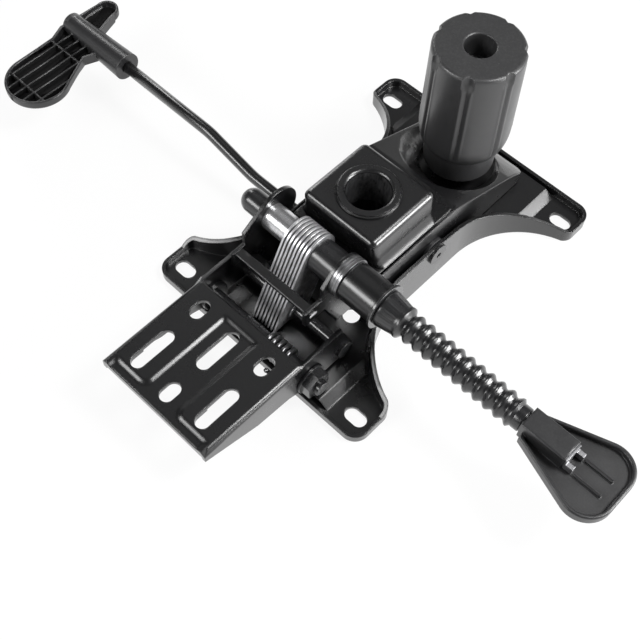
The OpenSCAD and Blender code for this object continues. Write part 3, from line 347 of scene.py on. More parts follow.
# %% Coats and mouldings
COATS = {
    "black_coat": dict(
        base=(0.005, 0.005, 0.0055), dust_and_highlight_tone=0.12, dust=0.02, gloss=(0.26, 0.31), tooth=0.0011,
        waviness=0.3, bump=0.01, lacquer=0.8, fold=0.0016, rubbed_and_lit=0.05),
    "rod_coat": dict(
        base=(0.004, 0.004, 0.0045), dust_and_highlight_tone=0.1, dust=0.02, gloss=(0.26, 0.38), tooth=0.0016,
        waviness=0.4, bump=0.01, lacquer=1.0, fold=0.0005, rubbed_and_lit=0.05),
    # Paddles: their paler rims and ribs are partly wear and partly a painted highlight.
    "moulded_grip": dict(
        base=(0.019, 0.019, 0.02), dust_and_highlight_tone=0.16, dust=0.06, gloss=(0.3, 0.42), tooth=0.0005,
        waviness=0.2, bump=0.15, lacquer=0.3, fold=0.0011, rubbed_and_lit=0.7),
    "charcoal_knob": dict(
        base=(0.03, 0.03, 0.031), dust_and_highlight_tone=0.16, dust=0.1, gloss=(0.34, 0.48), tooth=0.0005,
        waviness=0.2, bump=0.2, lacquer=0.4, fold=0.0008, rubbed_and_lit=0.5),
    "nylon": dict(
        base=(0.02, 0.02, 0.021), dust_and_highlight_tone=0.1, dust=0.05, gloss=(0.35, 0.5), tooth=0.0006,
        waviness=0.3, bump=0.1, lacquer=0.0, fold=0.0004, rubbed_and_lit=0.2),
    "dark_steel": dict(
        base=(0.012, 0.012, 0.013), dust_and_highlight_tone=0.2, dust=0.05, gloss=(0.22, 0.36), tooth=0.0005,
        waviness=0.4, bump=0.12, lacquer=0.5, fold=0.0006, rubbed_and_lit=0.5),
    "shiny_moulding": dict(
        base=(0.012, 0.012, 0.013), dust_and_highlight_tone=0.12, dust=0.05, gloss=(0.24, 0.34), tooth=0.0007,
        waviness=0.3, bump=0.06, lacquer=0.6, fold=0.0004, rubbed_and_lit=0.2),
    # Pockets of the height paddle: a darker colour painted in as shade, and a duller gloss.
    "dull_moulding_painted_shade": dict(
        base=(0.006, 0.006, 0.0062), dust_and_highlight_tone=0.08, dust=0.0, gloss=(0.55, 0.65), tooth=0.0005,
        waviness=0.2, bump=0.1, lacquer=0.0, fold=0.0004, rubbed_and_lit=0.0, mirror=0.1),
    # Link pin and rim washer: darker steel with a painted highlight along its edges.
    "dark_steel_highlit_edges": dict(
        base=(0.02, 0.02, 0.021), dust_and_highlight_tone=0.5, dust=0.02, gloss=(0.2, 0.3), tooth=0.0005,
        waviness=0.4, bump=0.06, lacquer=0.8, fold=0.0006, rubbed_and_lit=0.9),
}
FINISHES = {name: coated(name, **look) for name, look in COATS.items()}
print("coats and mouldings", sorted(COATS))

# %% Bare metals
METALS = {
    "bright_steel": dict(
        dark=(0.5, 0.5, 0.51), light=(0.85, 0.85, 0.87),
        along=5000, rough=0.26, bump=0.04, metallic=0.9),
    "plate_steel": dict(
        dark=(0.4, 0.4, 0.41), light=(0.85, 0.85, 0.87),
        along=2500, rough=0.36, bump=0.25, metallic=0.75),
    "sawn_steel": dict(
        dark=(0.7, 0.7, 0.71), light=(0.9, 0.9, 0.91),
        along=300, rough=0.5, bump=0.3, metallic=0.15),
    "bore_steel": dict(
        dark=(0.05, 0.05, 0.052), light=(0.3, 0.3, 0.31),
        along=400, rough=0.3, bump=0.1, metallic=0.85),
    "spring_steel": dict(
        dark=(0.12, 0.12, 0.122), light=(0.42, 0.42, 0.43),
        along=4000, rough=0.3, bump=0.03, metallic=0.9),
    "clip_steel": dict(
        dark=(0.16, 0.16, 0.165), light=(0.32, 0.32, 0.33),
        along=1500, rough=0.4, bump=0.03, metallic=0.75),
}
FINISHES.update({name: bare_metal(name, **look) for name, look in METALS.items()})
print("bare metals", sorted(METALS))

# %% [markdown]
# Each piece takes the finish that its material slot names. A few pieces look unlike the rest of
# their slot: the cap is shinier, the springs are duller than plated steel but not black, the
# link pin and the rim washer are dark steel with a painted highlight along their edges, and the
# paddle's clip is plain steel.

# %% Finishes on the pieces
SPECIAL = {
    "shaft_cap": "shiny_moulding", "disc_springs": "spring_steel", "return_spring": "spring_steel",
    "link_pin": "dark_steel_highlit_edges", "rim_washer": "dark_steel_highlit_edges", "paddle_clip": "clip_steel",
}
for row in frame["record"]["subparts"]:
    piece = nodes[row["node"]]
    piece.data.materials.clear()
    piece.data.materials.append(FINISHES[SPECIAL.get(row["node"], row["material_slot"])])
print("special finishes on", sorted(SPECIAL))

# %% [markdown]
# ## Folded and moulded edges
# Sheet steel folds on a radius and a moulding has no sharp corner, so every edge catches a
# thin line of light. The edges could be rounded in the solids, but as modifiers they stay easy
# to change. Weld joins the faces that the file keeps apart. On sheet, Decimate then joins the
# triangles of each flat into whole panels. Bevel rounds the edges by the radius that each piece
# has, and weighted normals keep the flats flat beside it.

# %% Edges
EDGE_RADIUS = {
    "seat_pan": 0.0009, "clamp_yoke": 0.0005, "tie_bar": 0.0004, "hinge_bracket": 0.0005,
    "taper_socket": 0.0006, "cam_sleeve": 0.0008, "shaft_cap": 0.0006, "carrier_hinge_pins": 0.0011,
    "pack_collar": 0.0005, "paddle_clip": 0.0003,
}
PLAIN_EDGE = 0.0002
EDGE_ANGLE = math.radians(32)
PANEL_ANGLE = math.radians(0.1)
SAME_POINT = 0.000002
ROUND_STOCK = ("tension_spring", "return_spring", "height_rod")
SHEETS = ("seat_pan", "hinge_bracket", "clamp_yoke")


def shade_evenly(piece):
    """Lets the large faces of a piece set the shading, so that only its edges look round."""
    even = piece.modifiers.new("even_shading", "WEIGHTED_NORMAL")
    even.keep_sharp = True


for name, piece in nodes.items():
    piece.data.polygons.foreach_set("use_smooth", [True] * len(piece.data.polygons))
    join = piece.modifiers.new("join_faces", "WELD")
    join.merge_threshold = SAME_POINT
    if name in SHEETS:
        panels = piece.modifiers.new("whole_panels", "DECIMATE")
        panels.decimate_type = "DISSOLVE"
        panels.angle_limit = PANEL_ANGLE
    if name not in ROUND_STOCK:
        rounding = piece.modifiers.new("round_edges", "BEVEL")
        rounding.width = EDGE_RADIUS.get(name, PLAIN_EDGE)
        rounding.segments = 2
        rounding.limit_method = "ANGLE"
        rounding.angle_limit = EDGE_ANGLE
        shade_evenly(piece)
print("edges rounded on", len(nodes) - len(ROUND_STOCK), "pieces")

# %% [markdown]
# ## Pressed sheet
# A press tool leaves round folds and soft walls, and on black paint those are nearly all that
# the eye gets. Three solids have sharp folds, so a copy of each is pressed here and stands for
# it: the copy's flat faces are joined into whole panels, and then only its outer folds are
# rounded, because a modifier would round the thin sheet edges as well.

# %% Tools of the press shop
LEVEL = 0.000001
NEARBY = 0.00002
FLAT_ANGLE = 0.002


def at_height(a, b, height):
    """Is true where both ends of an edge lie at a height."""
    return max(abs(a.z - height), abs(b.z - height)) < LEVEL


def solid_copy(node):
    """A copy of a solid, ready to be worked on."""
    form = bmesh.new()
    form.from_mesh(nodes[node].data)
    bmesh.ops.remove_doubles(form, verts=form.verts, dist=SAME_POINT)
    return form


def join_panels(form, left_alone=()):
    """Joins the flat faces of a form into whole panels, apart from those at some heights."""
    free = [e for e in form.edges
            if not any(at_height(e.verts[0].co, e.verts[1].co, height) for height in left_alone)]
    corners = [] if left_alone else form.verts
    bmesh.ops.dissolve_limit(form, angle_limit=FLAT_ANGLE, verts=corners, edges=free)


def round_folds(form, wanted, radius, steps):
    """Rounds the edges for which wanted(first end, other end) is true."""
    chosen = [e for e in form.edges if wanted(e.verts[0].co, e.verts[1].co)]
    bmesh.ops.bevel(form, geom=chosen, offset=radius, offset_type="OFFSET", segments=steps,
                    profile=0.5, affect="EDGES", clamp_overlap=False)
    return len(chosen)


def shown(form, name, finish, crisp=180):
    """Makes a smooth object of a form. Folds sharper than an angle in degrees stay crisp."""
    mesh = bpy.data.meshes.new(name)
    form.to_mesh(mesh)
    form.free()
    mesh.polygons.foreach_set("use_smooth", [True] * len(mesh.polygons))
    mesh.set_sharp_from_angle(angle=math.radians(crisp))
    mesh.materials.append(FINISHES[finish])
    made = bpy.data.objects.new(name, mesh)
    scene.collection.objects.link(made)
    return made


def stand_in(form, node, body, finish, crisp=34):
    """Shows a form in place of a solid, moving with the solid's body."""
    made = shown(form, "pressed_" + node, finish, crisp)
    shade_evenly(made)
    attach(made, body)
    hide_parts(node)
    return made


# %% [markdown]
# The bracket's plate has a T pressed into it, which leaves two raised pads. A displacement map
# could press it, but would leave the mesh flat. So the plate of the copy is first levelled, then
# sliced into a grid that is finest at the walls of the T, and each point of the grid sinks by
# how far it lies from the pads. A smooth step makes the wall, so no corner is left sharp.

# %% The T in the bracket
PAD_INNER = 0.0148
PAD_REAR = -0.1805
PAD_ROUND = 0.003
TEE_FRONT = -0.1185
TEE_SIDE = 0.0395
TEE_WALL = 0.0043
TEE_DEPTH = 0.0015
BLUNT = 0.0008


def tee_depth(x, y):
    """How far a point of the plate sinks: nothing on the pads, all of it in the T."""
    gaps = [max(TEE_FRONT - y, 0), max(TEE_SIDE - abs(x), 0)]
    for side in (-1, 1):
        across = max(PAD_INNER + PAD_ROUND - side * x, 0)
        along = max(PAD_REAR + PAD_ROUND - y, 0)
        gaps.append(max(math.hypot(across, along) - PAD_ROUND, 0))
    near = -BLUNT * math.log(sum(math.exp(-gap / BLUNT) for gap in gaps))
    share = min(max(near / TEE_WALL, 0), 1)
    return TEE_DEPTH * share * share * (3 - 2 * share)


# %% Back bracket
bracket_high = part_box("back_bracket")[1]
PLATE_TOP = bracket_high[2]
PLATE_HALF = bracket_high[0]
FOLD_START = -0.114
BRACKET_FOLD = 0.003
# The grid is counted in steps of half a millimetre.
GRID_STEP = 0.0005
GRID_ACROSS = (-80, 80)
GRID_ALONG = (228, 376)
WALLS_ACROSS = ((20, 34), (69, 80))
WALLS_ALONG = ((228, 247), (355, 376))
ON_PLANE = 0.0000001


def on_side_fold(a, b):
    """Is true for the folds between the plate and the side walls, behind where they start."""
    behind = max(a.y, b.y) < FOLD_START + NEARBY
    outside = min(abs(a.x), abs(b.x)) > PLATE_HALF - LEVEL
    return at_height(a, b, PLATE_TOP) and behind and outside and a.x * b.x > 0


def grid_lines(ends, walls):
    """The lines of a grid between two ends: every second one, and each of them at the walls."""
    return [i for i in range(ends[0], ends[1] + 1)
            if i % 2 == 0 or any(low <= abs(i) <= high for low, high in walls)]


form = solid_copy("back_bracket")
join_panels(form)
for point in form.verts:
    if abs(point.co.z - PLATE_TOP + TEE_DEPTH) < LEVEL:
        point.co.z = PLATE_TOP
bmesh.ops.remove_doubles(form, verts=form.verts, dist=SAME_POINT)
join_panels(form)
bmesh.ops.bisect_plane(form, geom=form.verts[:] + form.edges[:] + form.faces[:], dist=ON_PLANE,
                       plane_co=(0, FOLD_START, 0), plane_no=(0, 1, 0))
folds = round_folds(form, on_side_fold, BRACKET_FOLD, steps=5)
plate = [f for f in form.faces if min(v.co.z for v in f.verts) > PLATE_TOP - LEVEL]
plate = bmesh.ops.triangulate(form, faces=plate)["faces"]
parts = list(dict.fromkeys(v for f in plate for v in f.verts))
parts += list(dict.fromkeys(e for f in plate for e in f.edges))
parts += plate
cuts = [((GRID_STEP * i, 0, 0), (1, 0, 0)) for i in grid_lines(GRID_ACROSS, WALLS_ACROSS)]
cuts += [((0, -GRID_STEP * i, 0), (0, 1, 0)) for i in grid_lines(GRID_ALONG, WALLS_ALONG)]
for spot, normal in cuts:
    cut = bmesh.ops.bisect_plane(form, geom=parts, dist=ON_PLANE, plane_co=spot, plane_no=normal)
    parts = cut["geom"]
for point in form.verts:
    if point.co.z > PLATE_TOP - LEVEL:
        point.co.z -= tee_depth(point.co.x, point.co.y)
bracket = stand_in(form, "back_bracket", "back_bracket", "black_coat")
print("back bracket:", folds, "folds,", len(bracket.data.polygons), "faces")

# %% [markdown]
# The saddle is a deep drawn box with a flared foot, so its upper rim, its corners and the bend
# above the foot are all round. The carrier is folded, with a smaller radius along its top. Both
# are made as the bracket was, but which edges are folds is told by where they lie.

# %% Saddle
SADDLE_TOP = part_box("gas_saddle")[1][2]
SADDLE_HALF = 0.029
SADDLE_BEND = 0.0504
SADDLE_FOLD = 0.0045
CORNER_RISE = 0.003


def on_saddle_fold(a, b):
    """Is true for the upper rim, the upright corners and the bend above the foot."""
    outside = min(abs(a.x), abs(b.x)) > SADDLE_HALF - NEARBY
    corner = abs(a.z - b.z) > CORNER_RISE
    return outside and (corner or at_height(a, b, SADDLE_TOP) or at_height(a, b, SADDLE_BEND))


form = solid_copy("gas_saddle")
join_panels(form)
folds = round_folds(form, on_saddle_fold, SADDLE_FOLD, steps=7)
saddle = stand_in(form, "gas_saddle", "carrier", "black_coat")
print("saddle:", folds, "folds,", len(saddle.data.polygons), "faces")

# %% Carrier
carrier_low, carrier_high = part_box("carrier_channel")
CARRIER_HALF = carrier_high[0]
CARRIER_CORNER = 0.007
CARRIER_FOLD = 0.0012
WALL_FOOT = 0.014
RIM_FROM = 0.0175
SHORTEST_FOLD = 0.0002


def on_carrier_wall(point):
    """Is true for a point on the upper part of the carrier's outer outline."""
    across = abs(point.x) - CARRIER_HALF + CARRIER_CORNER
    along = max(point.y - carrier_high[1], carrier_low[1] - point.y) + CARRIER_CORNER
    gap = math.hypot(max(across, 0), max(along, 0)) + min(max(across, along), 0) - CARRIER_CORNER
    return abs(gap) < NEARBY and point.z > WALL_FOOT


def on_carrier_fold(a, b):
    """Is true for the carrier's upper rim, whose edges run along the outline and not up it."""
    level_run = math.hypot(a.x - b.x, a.y - b.y) > SHORTEST_FOLD
    return on_carrier_wall(a) and on_carrier_wall(b) and level_run and max(a.z, b.z) > RIM_FROM


form = solid_copy("carrier_channel")
join_panels(form)
folds = round_folds(form, on_carrier_fold, CARRIER_FOLD, steps=5)
carrier = stand_in(form, "carrier_channel", "carrier", "black_coat", crisp=24)
print("carrier:", folds, "folds,", len(carrier.data.polygons), "faces")

# %% [markdown]
# ## Tension knob
# The knob is moulded: a tapered grip with seven grooves, each with a soft lip on both sides and
# a round bite out of the top rim. A lathe form could not have the bites, and cutting them with
# a boolean would leave sharp edges. So the profile is turned as a grid of points, and each
# point is pulled in by the groove and by a blunt bite.

# %% Outline of the knob
knob_low, knob_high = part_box("tension_knob")
bolt_low, bolt_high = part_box("tension_bolt")
KNOB_FOOT = knob_low[2]
KNOB_TOP = knob_high[2]
KNOB_Y = (bolt_low[1] + bolt_high[1]) / 2
KNOB_WIDEST = 0.0295
KNOB_DRAFT = 0.0009
KNOB_INSIDE = 0.018
COLLAR_RADIUS = 0.0235
SHOULDER_Z = 0.062
SHOULDER_OUT = 0.0056
SHOULDER_RISE = 0.016
TOP_ROUND = 0.0028
HOLE_MOUTH = 0.0106


def knob_profile():
    """Points (radius, height) up the outside, over the top, down the hole and back inside."""
    rows = [(KNOB_INSIDE, KNOB_FOOT), (0.0229, KNOB_FOOT), (0.0234, 0.027)]
    rows += [(COLLAR_RADIUS, 0.030), (COLLAR_RADIUS, 0.0445), (0.0237, 0.0458)]
    for i in range(1, 13):
        bend = math.pi / 2 * i / 12
        rows.append((KNOB_WIDEST - SHOULDER_OUT * (1 - math.sin(bend)),
                     SHOULDER_Z - SHOULDER_RISE * math.cos(bend)))
    rim_z = KNOB_TOP - TOP_ROUND
    rows += [(KNOB_WIDEST - KNOB_DRAFT * i / 30, SHOULDER_Z + (rim_z - SHOULDER_Z) * i / 30)
             for i in range(1, 31)]
    face = KNOB_WIDEST - KNOB_DRAFT - TOP_ROUND
    for i in range(1, 9):
        bend = math.pi / 2 * i / 8
        rows.append((face + TOP_ROUND * math.cos(bend), rim_z + TOP_ROUND * math.sin(bend)))
    rows += [(face - (face - HOLE_MOUTH) * i / 16, KNOB_TOP) for i in range(1, 17)]
    rows += [(0.0101, 0.1248), (0.0098, 0.1244), (0.0098, 0.1072), (0.0096, 0.107), (0.0086, 0.107)]
    return rows + [(0.0086, 0.0955), (0.0065, 0.0955), (0.0065, 0.091), (KNOB_INSIDE, 0.091)]


profile = knob_profile()
print("knob outline", len(profile), "points")

# %% Grooves and bites
KNOB_GROOVES = 7
FIRST_GROOVE = math.radians(39.3)
GROOVE_DEPTH = 0.0011
GROOVE_HALF = 0.0011
GROOVE_START = 0.050
GROOVE_RUN = 0.006
LIP_RISE = 0.0003
LIP_AWAY = 0.0027
LIP_HALF = 0.0009
BITE_RADIUS = 0.0042
BITE_CENTRE = 0.0306
BITE_LOW = 0.1190
BITE_BLUNT = 0.00045
SMOOTH_CORE = 0.0181
SMOOTH_COLLAR = 0.0462


def knob_radius(radius, height, turn):
    """The radius at a height and a turn, pulled in by the nearest groove and bite."""
    if radius < SMOOTH_CORE or height < SMOOTH_COLLAR:
        return radius
    pitch = 2 * math.pi / KNOB_GROOVES
    away = (turn - FIRST_GROOVE + pitch / 2) % pitch - pitch / 2
    side = abs(radius * math.sin(away))
    start = min(max((height - GROOVE_START) / GROOVE_RUN, 0), 1)
    groove = GROOVE_DEPTH * math.exp(-(side / GROOVE_HALF) ** 2)
    lip = LIP_RISE * math.exp(-((side - LIP_AWAY) / LIP_HALF) ** 2)
    radius -= start * (groove - lip)
    drop = max(BITE_LOW - height, 0)
    room = BITE_RADIUS ** 2 - side ** 2 - drop ** 2
    if room <= 0:
        return radius
    bite = BITE_CENTRE - math.sqrt(room)
    blunt = max(BITE_BLUNT - abs(radius - bite), 0) / BITE_BLUNT
    return min(radius, bite) - blunt * blunt * BITE_BLUNT / 4


# %% Tension knob
KNOB_STEPS = 60 * KNOB_GROOVES


def swept(rings):
    """A closed form: each ring of points joins the one before it, and the first joins the last."""
    form = bmesh.new()
    rows = [[form.verts.new(point) for point in ring] for ring in rings]
    for i, row in enumerate(rows):
        before = rows[i - 1]
        for k in range(len(row)):
            form.faces.new((before[k - 1], row[k - 1], row[k], before[k]))
    bmesh.ops.recalc_face_normals(form, faces=form.faces)
    return form


rings = []
for i in range(KNOB_STEPS):
    turn = 2 * math.pi * i / KNOB_STEPS
    reaches = [(knob_radius(radius, height, turn), height) for radius, height in profile]
    rings.append([(reach * math.cos(turn), KNOB_Y + reach * math.sin(turn), height)
                  for reach, height in reaches])
knob = stand_in(swept(rings), "tension_knob", "tension_knob", "charcoal_knob")
print("knob", len(knob.data.polygons), "faces")

# %% [markdown]
# ## Tension spring
# The coil under the knob is squeezed from both ends: the knob screws its head down, and the
# rocking carrier lifts its foot. One piece can shorten with one joint only, so the coil is cut
# at half its height. The upper half hangs from the washer and the lower half stands on the
# carrier, each carried by the body of its end.

# %% Tension spring
COIL_CUT = 0.05


def half_coil(name, upper, body):
    """One half of the coil, cut at its middle and carried by a body."""
    form = solid_copy("tension_spring")
    whole = form.verts[:] + form.edges[:] + form.faces[:]
    cut = bmesh.ops.bisect_plane(form, geom=whole, plane_co=(0, 0, COIL_CUT), plane_no=(0, 0, 1),
                                 clear_inner=upper, clear_outer=not upper)["geom_cut"]
    bmesh.ops.holes_fill(form, edges=[part for part in cut if isinstance(part, bmesh.types.BMEdge)])
    made = shown(form, name, "dark_steel", crisp=50)
    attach(made, body)
    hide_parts("tension_spring")
    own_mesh(made)
    return made


head = half_coil("coil_head", True, "spring_follower")
foot = half_coil("coil_foot", False, "carrier")
print("coil halves", len(head.data.polygons), len(foot.data.polygons), "faces")

# %% [markdown]
# ## Ribbed grip
# The grip is one soft moulding: a cone with faint flutes, eleven round ribs that run into each
# other like a hose, and a plain neck. The solid has its ribs as separate steps, so here the
# same sizes are turned as one wave. A lathe form is the plain way to do it, and the flutes are
# put on the cone's points as they are made.

# %% Outline of the grip
grip_low, grip_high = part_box("lever_grip")
GRIP_X = grip_low[0]
GRIP_LENGTH = grip_high[0] - grip_low[0]
CONE_LENGTH = 0.016
CONE_START = 0.0016
CONE_RUN = 0.0112
CONE_RADIUS = 0.0119
CONE_NARROWS = 0.0018
FLUTE_DEPTH = 0.00016
RIB_COUNT = 11
RIB_PITCH = 0.0073
RIB_RADIUS = 0.0094
RIB_POINTS = 16
RIB_BLUNTNESS = 0.85
FIRST_RIB = 0.15
QUARTER = 0.25
POINTS_OFF = 5
ROOT_RADIUS = 0.0072
NECK_RADIUS = 0.0076
CORE_RADIUS = 0.0066
LEVER_RADIUS = 0.0046
CORE_LENGTH = 0.05


def grip_profile():
    """Points (along, radius, flute depth) from the cone's face to the end of the neck."""
    rows = [(0.0, CORE_RADIUS, 0), (0.0, 0.0112, 0), (0.0003, 0.0117, 0)]
    rows += [(0.0009, 0.01195, 0), (CONE_START, CONE_RADIUS, 0)]
    for i in range(1, 11):
        flute = FLUTE_DEPTH * math.sin(math.pi * i / 10)
        rows.append((CONE_START + CONE_RUN * i / 10, CONE_RADIUS - CONE_NARROWS * i / 10, flute))
    rows += [(0.0134, 0.0103, 0), (0.0142, 0.0105, 0), (0.0150, 0.0104, 0)]
    rows += [(0.0156, 0.0098, 0), (0.0163, 0.0086, 0)]
    for i in range(1, RIB_COUNT * RIB_POINTS - POINTS_OFF):
        rib = i / RIB_POINTS + FIRST_RIB
        wave = (0.5 - 0.5 * math.cos(2 * math.pi * (rib - QUARTER))) ** RIB_BLUNTNESS
        radius = ROOT_RADIUS + (RIB_RADIUS - ROOT_RADIUS) * wave
        rows.append((CONE_LENGTH + RIB_PITCH * rib, radius, 0))
    neck = CONE_LENGTH + RIB_PITCH * RIB_COUNT
    rows += [(neck + 0.0001, 0.0074, 0), (neck + 0.0006, NECK_RADIUS, 0)]
    rows += [(GRIP_LENGTH - 0.0016, NECK_RADIUS, 0), (GRIP_LENGTH - 0.0009, 0.0074, 0)]
    rows += [(GRIP_LENGTH - 0.0006, 0.0068, 0), (GRIP_LENGTH, 0.0068, 0)]
    return rows + [(GRIP_LENGTH, LEVER_RADIUS, 0), (CORE_LENGTH, LEVER_RADIUS, 0),
                   (CORE_LENGTH, CORE_RADIUS, 0)]


profile = grip_profile()
print("grip outline", len(profile), "points")

# %% Ribbed grip
SHAFT_Y = -0.0573
SHAFT_Z = 0.056
CONE_FLUTES = 36
GRIP_STEPS = 4 * CONE_FLUTES

rings = []
for i in range(GRIP_STEPS):
    turn = 2 * math.pi * i / GRIP_STEPS
    dip = 0.5 - 0.5 * math.cos(CONE_FLUTES * turn)
    reaches = [(GRIP_X + along, radius - flute * dip) for along, radius, flute in profile]
    rings.append([(x, SHAFT_Y + reach * math.cos(turn), SHAFT_Z + reach * math.sin(turn))
                  for x, reach in reaches])
grip = stand_in(swept(rings), "lever_grip", "clamp_lever", "shiny_moulding")
print("grip", len(grip.data.polygons), "faces")

# %% [markdown]
# ## Paddles
# Both paddles are moulded trays with a rounded rim. As on the sheet parts, copies of the solids
# get round rims, and a bevel modifier would not do, because it would round the thin ribs too.
# The height paddle is rounded under its edge as well, and the pockets between its ribs, where
# no hand reaches, are duller; their darker colour is painted shade. On both paddles the paler rims
# and ribs are partly wear and partly a painted highlight.

# %% Clamp paddle
CLAMP_RIM = 0.0565
CLAMP_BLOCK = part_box("clamp_paddle")[1][2]
CLAMP_ROUND = 0.0011


def on_clamp_rim(a, b):
    """Is true for the rim of the tray and for the top of the block that holds the clip."""
    return at_height(a, b, CLAMP_RIM) or at_height(a, b, CLAMP_BLOCK)


form = solid_copy("clamp_paddle")
join_panels(form)
folds = round_folds(form, on_clamp_rim, CLAMP_ROUND, steps=4)
paddle = stand_in(form, "clamp_paddle", "clamp_lever", "moulded_grip")
print("clamp paddle:", folds, "folds,", len(paddle.data.polygons), "faces")

# %% Height paddle
TRAY_BASE = 0.0295
TRAY_FLOOR = 0.0315
TRAY_RIM = 0.0365
BASE_ROUND = 0.0025
RIM_ROUND = 0.0008
RIB_TOP = 0.0358
RIBS_FROM = -0.2605
RIBS_TO = -0.2255
TRAY_SOCKET_Y = -0.0282
SOCKET_ROOM = 0.0125
FLOOR_ROOM = 0.001
LOOKS_UP = 0.9
SQUARE_ON = 0.999


def on_tray(a, b, height):
    """Is true for an edge of the tray at a height, clear of the socket that crosses the tray."""
    clear = min(abs(a.y - TRAY_SOCKET_Y), abs(b.y - TRAY_SOCKET_Y)) > SOCKET_ROOM
    return clear and at_height(a, b, height)


def in_pocket(face):
    """Is true for the tray's floor and for the sides of its ribs."""
    on_floor = face.normal.z > LOOKS_UP and abs(face.center.z - TRAY_FLOOR) < FLOOR_ROOM
    squarely = max(abs(face.normal.x), abs(face.normal.y)) > SQUARE_ON
    among_ribs = TRAY_FLOOR < face.center.z < RIB_TOP and RIBS_FROM < face.center.x < RIBS_TO
    return on_floor or squarely and among_ribs


form = solid_copy("height_paddle")
join_panels(form, (TRAY_FLOOR, RIB_TOP))
folds = round_folds(form, lambda a, b: on_tray(a, b, TRAY_BASE), BASE_ROUND, steps=5)
folds += round_folds(form, lambda a, b: on_tray(a, b, TRAY_RIM), RIM_ROUND, steps=3)
tray = stand_in(form, "height_paddle", "height_lever", "moulded_grip")
tray.data.materials.append(FINISHES["dull_moulding_painted_shade"])
# The pockets take the darker moulding, which is painted shade.
for face in tray.data.polygons:
    face.material_index = int(in_pocket(face))
print("height paddle:", folds, "folds,", len(tray.data.polygons), "faces")

# %% [markdown]
# ## Bare steel
# Where steel was cut or rubbed after painting it is bright: the sawn end of the tie bar, and
# the bore that grips the gas lift. A second material on the solid's own faces could show it, but
# a thin skin on the painted solid leaves that as it came. The bore is swept round its axis, and
# the sawn end is a small pillow with a burr along its rim.

# %% Socket bore
SOCKET_Y = -0.0125
BORE_MOUTH = 0.01385
BORE_TOP = 0.0716
BORE_LOW = 0.046
BORE_TAPER = 0.0245
BORE_STEPS = 96
BORE_ROWS = 12

form = bmesh.new()
rings = []
for k in range(BORE_ROWS + 1):
    z = BORE_TOP + (BORE_LOW - BORE_TOP) * k / BORE_ROWS
    reach = BORE_MOUTH - (BORE_TOP - z) * BORE_TAPER
    turns = [2 * math.pi * i / BORE_STEPS for i in range(BORE_STEPS)]
    rings.append([form.verts.new((reach * math.cos(turn), SOCKET_Y + reach * math.sin(turn), z))
                  for turn in turns])
for upper, lower in zip(rings, rings[1:]):
    for i in range(BORE_STEPS):
        form.faces.new((upper[i], upper[i - 1], lower[i - 1], lower[i]))
bore = shown(form, "socket_bore", "bore_steel")
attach(bore, "carrier")
print("bore", len(bore.data.polygons), "faces")

# %% Sawn end of the tie bar
bar_low, bar_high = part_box("tie_bar")
BURR = 0.0003
SWELL = 0.00015
SWELL_SLOPE = 8
SKIN_GAP = 0.00002
END_STEPS = 12

form = bmesh.new()
grid = []
for i in range(END_STEPS + 1):
    row = []
    for k in range(END_STEPS + 1):
        u = i / END_STEPS
        v = k / END_STEPS
        rise = min(min(u, 1 - u, v, 1 - v) * SWELL_SLOPE, 1)
        y = bar_low[1] + BURR + (bar_high[1] - bar_low[1] - 2 * BURR) * u
        z = bar_low[2] + BURR + (bar_high[2] - bar_low[2] - 2 * BURR) * v
        row.append(form.verts.new((bar_high[0] + SWELL * rise + SKIN_GAP, y, z)))
    grid.append(row)
for near, far in zip(grid, grid[1:]):
    for k in range(END_STEPS):
        form.faces.new((near[k], far[k], far[k + 1], near[k + 1]))
sawn = shown(form, "sawn_end", "sawn_steel")
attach(sawn, "seat_frame")
print("sawn end", [round(x, 4) for x in bar_low], [round(x, 4) for x in bar_high])

# %% [markdown]
# ## Stage and light
# Black paint shows little but what it reflects, so the room matters as much as the lamps. The
# part lies on white paper. Paper and horizon are white, and the room above is dim, which keeps
# level faces dark and lets upright walls mirror the paper, as on a product table. The paper
# glows a little of its own to the eye, so that it stays clean and still shows a soft shadow.
# Straight to the camera the room is plain white from every side.

# %% What the eye sees
def seen_or_mirrored(tree):
    """Is one for a ray from the camera, from a mirror or through glass, and nought otherwise."""
    path = add(tree, "ShaderNodeLightPath")
    most = path.outputs["Is Camera Ray"]
    for kind in ("Is Glossy Ray", "Is Transmission Ray"):
        either = add(tree, "ShaderNodeMath", operation="MAXIMUM")
        tree.links.new(most, either.inputs[0])
        tree.links.new(path.outputs[kind], either.inputs[1])
        most = either.outputs[0]
    return most


# %% Paper
PAPER_GLOW = 0.9
PAPER_HALF = 3.0
PAPER_DROP = 0.0004

white = bpy.data.materials.new("paper_white")
white.use_nodes = True
tree = white.node_tree
tree.nodes.clear()
matt = add(tree, "ShaderNodeBsdfDiffuse", Color=(0.86, 0.86, 0.86, 1))
own = add(tree, "ShaderNodeEmission", Color=(1, 1, 1, 1), Strength=1.0)
share = add(tree, "ShaderNodeMath", operation="MULTIPLY")
share.inputs[1].default_value = PAPER_GLOW
join = add(tree, "ShaderNodeMixShader")
surface = add(tree, "ShaderNodeOutputMaterial")
wire(tree,
     (seen_or_mirrored(tree), share.inputs[0]),
     (share.outputs[0], join.inputs["Fac"]),
     (matt.outputs[0], join.inputs[1]),
     (own.outputs[0], join.inputs[2]),
     (join.outputs[0], surface.inputs["Surface"]))
FINISHES["paper_white"] = white

form = bmesh.new()
bmesh.ops.create_grid(form, x_segments=1, y_segments=1, size=PAPER_HALF)
paper = shown(form, "paper", "paper_white")
paper.location.z = -PAPER_DROP
print("paper", 2 * PAPER_HALF, "m wide")

# %% Room
ROOM_LEVEL = 0.28
CEILING = 0.06
WALL_TOP = 0.02
CEILING_START = 0.25

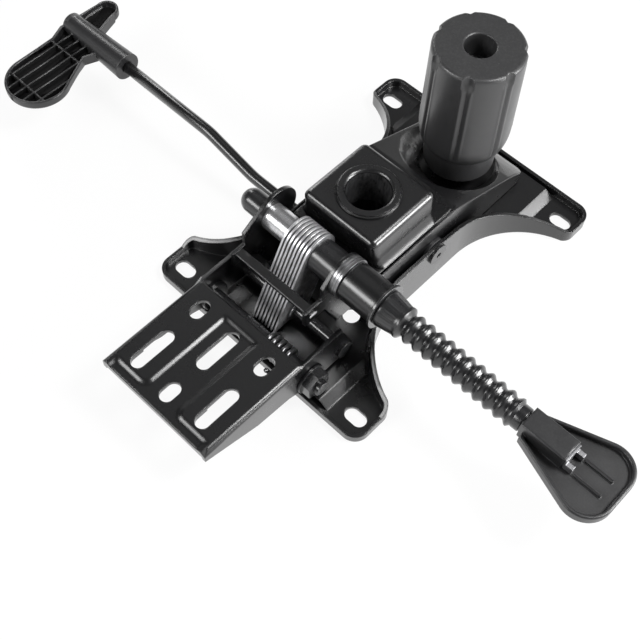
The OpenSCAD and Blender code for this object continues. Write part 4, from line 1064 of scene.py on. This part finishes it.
room = bpy.data.worlds.new("room")
scene.world = room
room.use_nodes = True
tree = room.node_tree
tree.nodes.clear()
direction = add(tree, "ShaderNodeTexCoord")
height = add(tree, "ShaderNodeSeparateXYZ")
fade = add(tree, "ShaderNodeMapRange", From_Min=WALL_TOP, From_Max=CEILING_START,
           To_Min=1.0, To_Max=CEILING)
path = add(tree, "ShaderNodeLightPath")
plain = add(tree, "ShaderNodeMath", operation="MAXIMUM")
fill = add(tree, "ShaderNodeBackground", Color=(1, 1, 1, 1), Strength=ROOM_LEVEL)
walls = add(tree, "ShaderNodeBackground", Color=(1, 1, 1, 1))
join = add(tree, "ShaderNodeMixShader")
surface = add(tree, "ShaderNodeOutputWorld")
wire(tree,
     (direction.outputs["Generated"], height.inputs[0]),
     (height.outputs["Z"], fade.inputs["Value"]),
     (fade.outputs["Result"], plain.inputs[0]),
     (path.outputs["Is Camera Ray"], plain.inputs[1]),
     (plain.outputs[0], walls.inputs["Strength"]),
     (seen_or_mirrored(tree), join.inputs["Fac"]),
     (fill.outputs[0], join.inputs[1]),
     (walls.outputs[0], join.inputs[2]),
     (join.outputs[0], surface.inputs["Surface"]))
print("room level", ROOM_LEVEL, "ceiling", CEILING)

# %% [markdown]
# Five soft boxes. The low one on the right draws the bright line on every fold that faces the
# clamp lever, and the key box above it models the mouldings. The one behind draws the highlight
# along the sleeve, the rod and the grip. The one above is weak and only lifts the level faces,
# and a narrow strip on the left draws the thin line on folds that face away from the lever.
# Point lamps would draw dots instead of lines on the black paint.

# %% Lamps
PART_MIDDLE = Vector((0.0, -0.03, 0.03))


def soft_box(name, place, size, watts):
    """A soft box at a place, turned to the middle of the part."""
    light = bpy.data.lights.new(name, "AREA")
    light.shape = "RECTANGLE"
    light.size, light.size_y = size
    light.energy = watts
    box = bpy.data.objects.new(name, light)
    box.location = place
    box.rotation_euler = (PART_MIDDLE - Vector(place)).to_track_quat("-Z", "Y").to_euler()
    scene.collection.objects.link(box)


soft_box("right_box", (1.09, 0.58, 0.41), (0.7, 0.4), 20)
soft_box("key_box", (0.62, 0.36, 1.11), (0.36, 0.36), 11)
soft_box("rear_box", (-0.42, -0.94, 0.71), (0.7, 0.35), 8)
soft_box("top_box", (-0.52, 0.55, 1.35), (1.1, 1.1), 0.7)
soft_box("left_strip", (-0.98, 0.43, 0.54), (0.14, 0.7), 2.2)
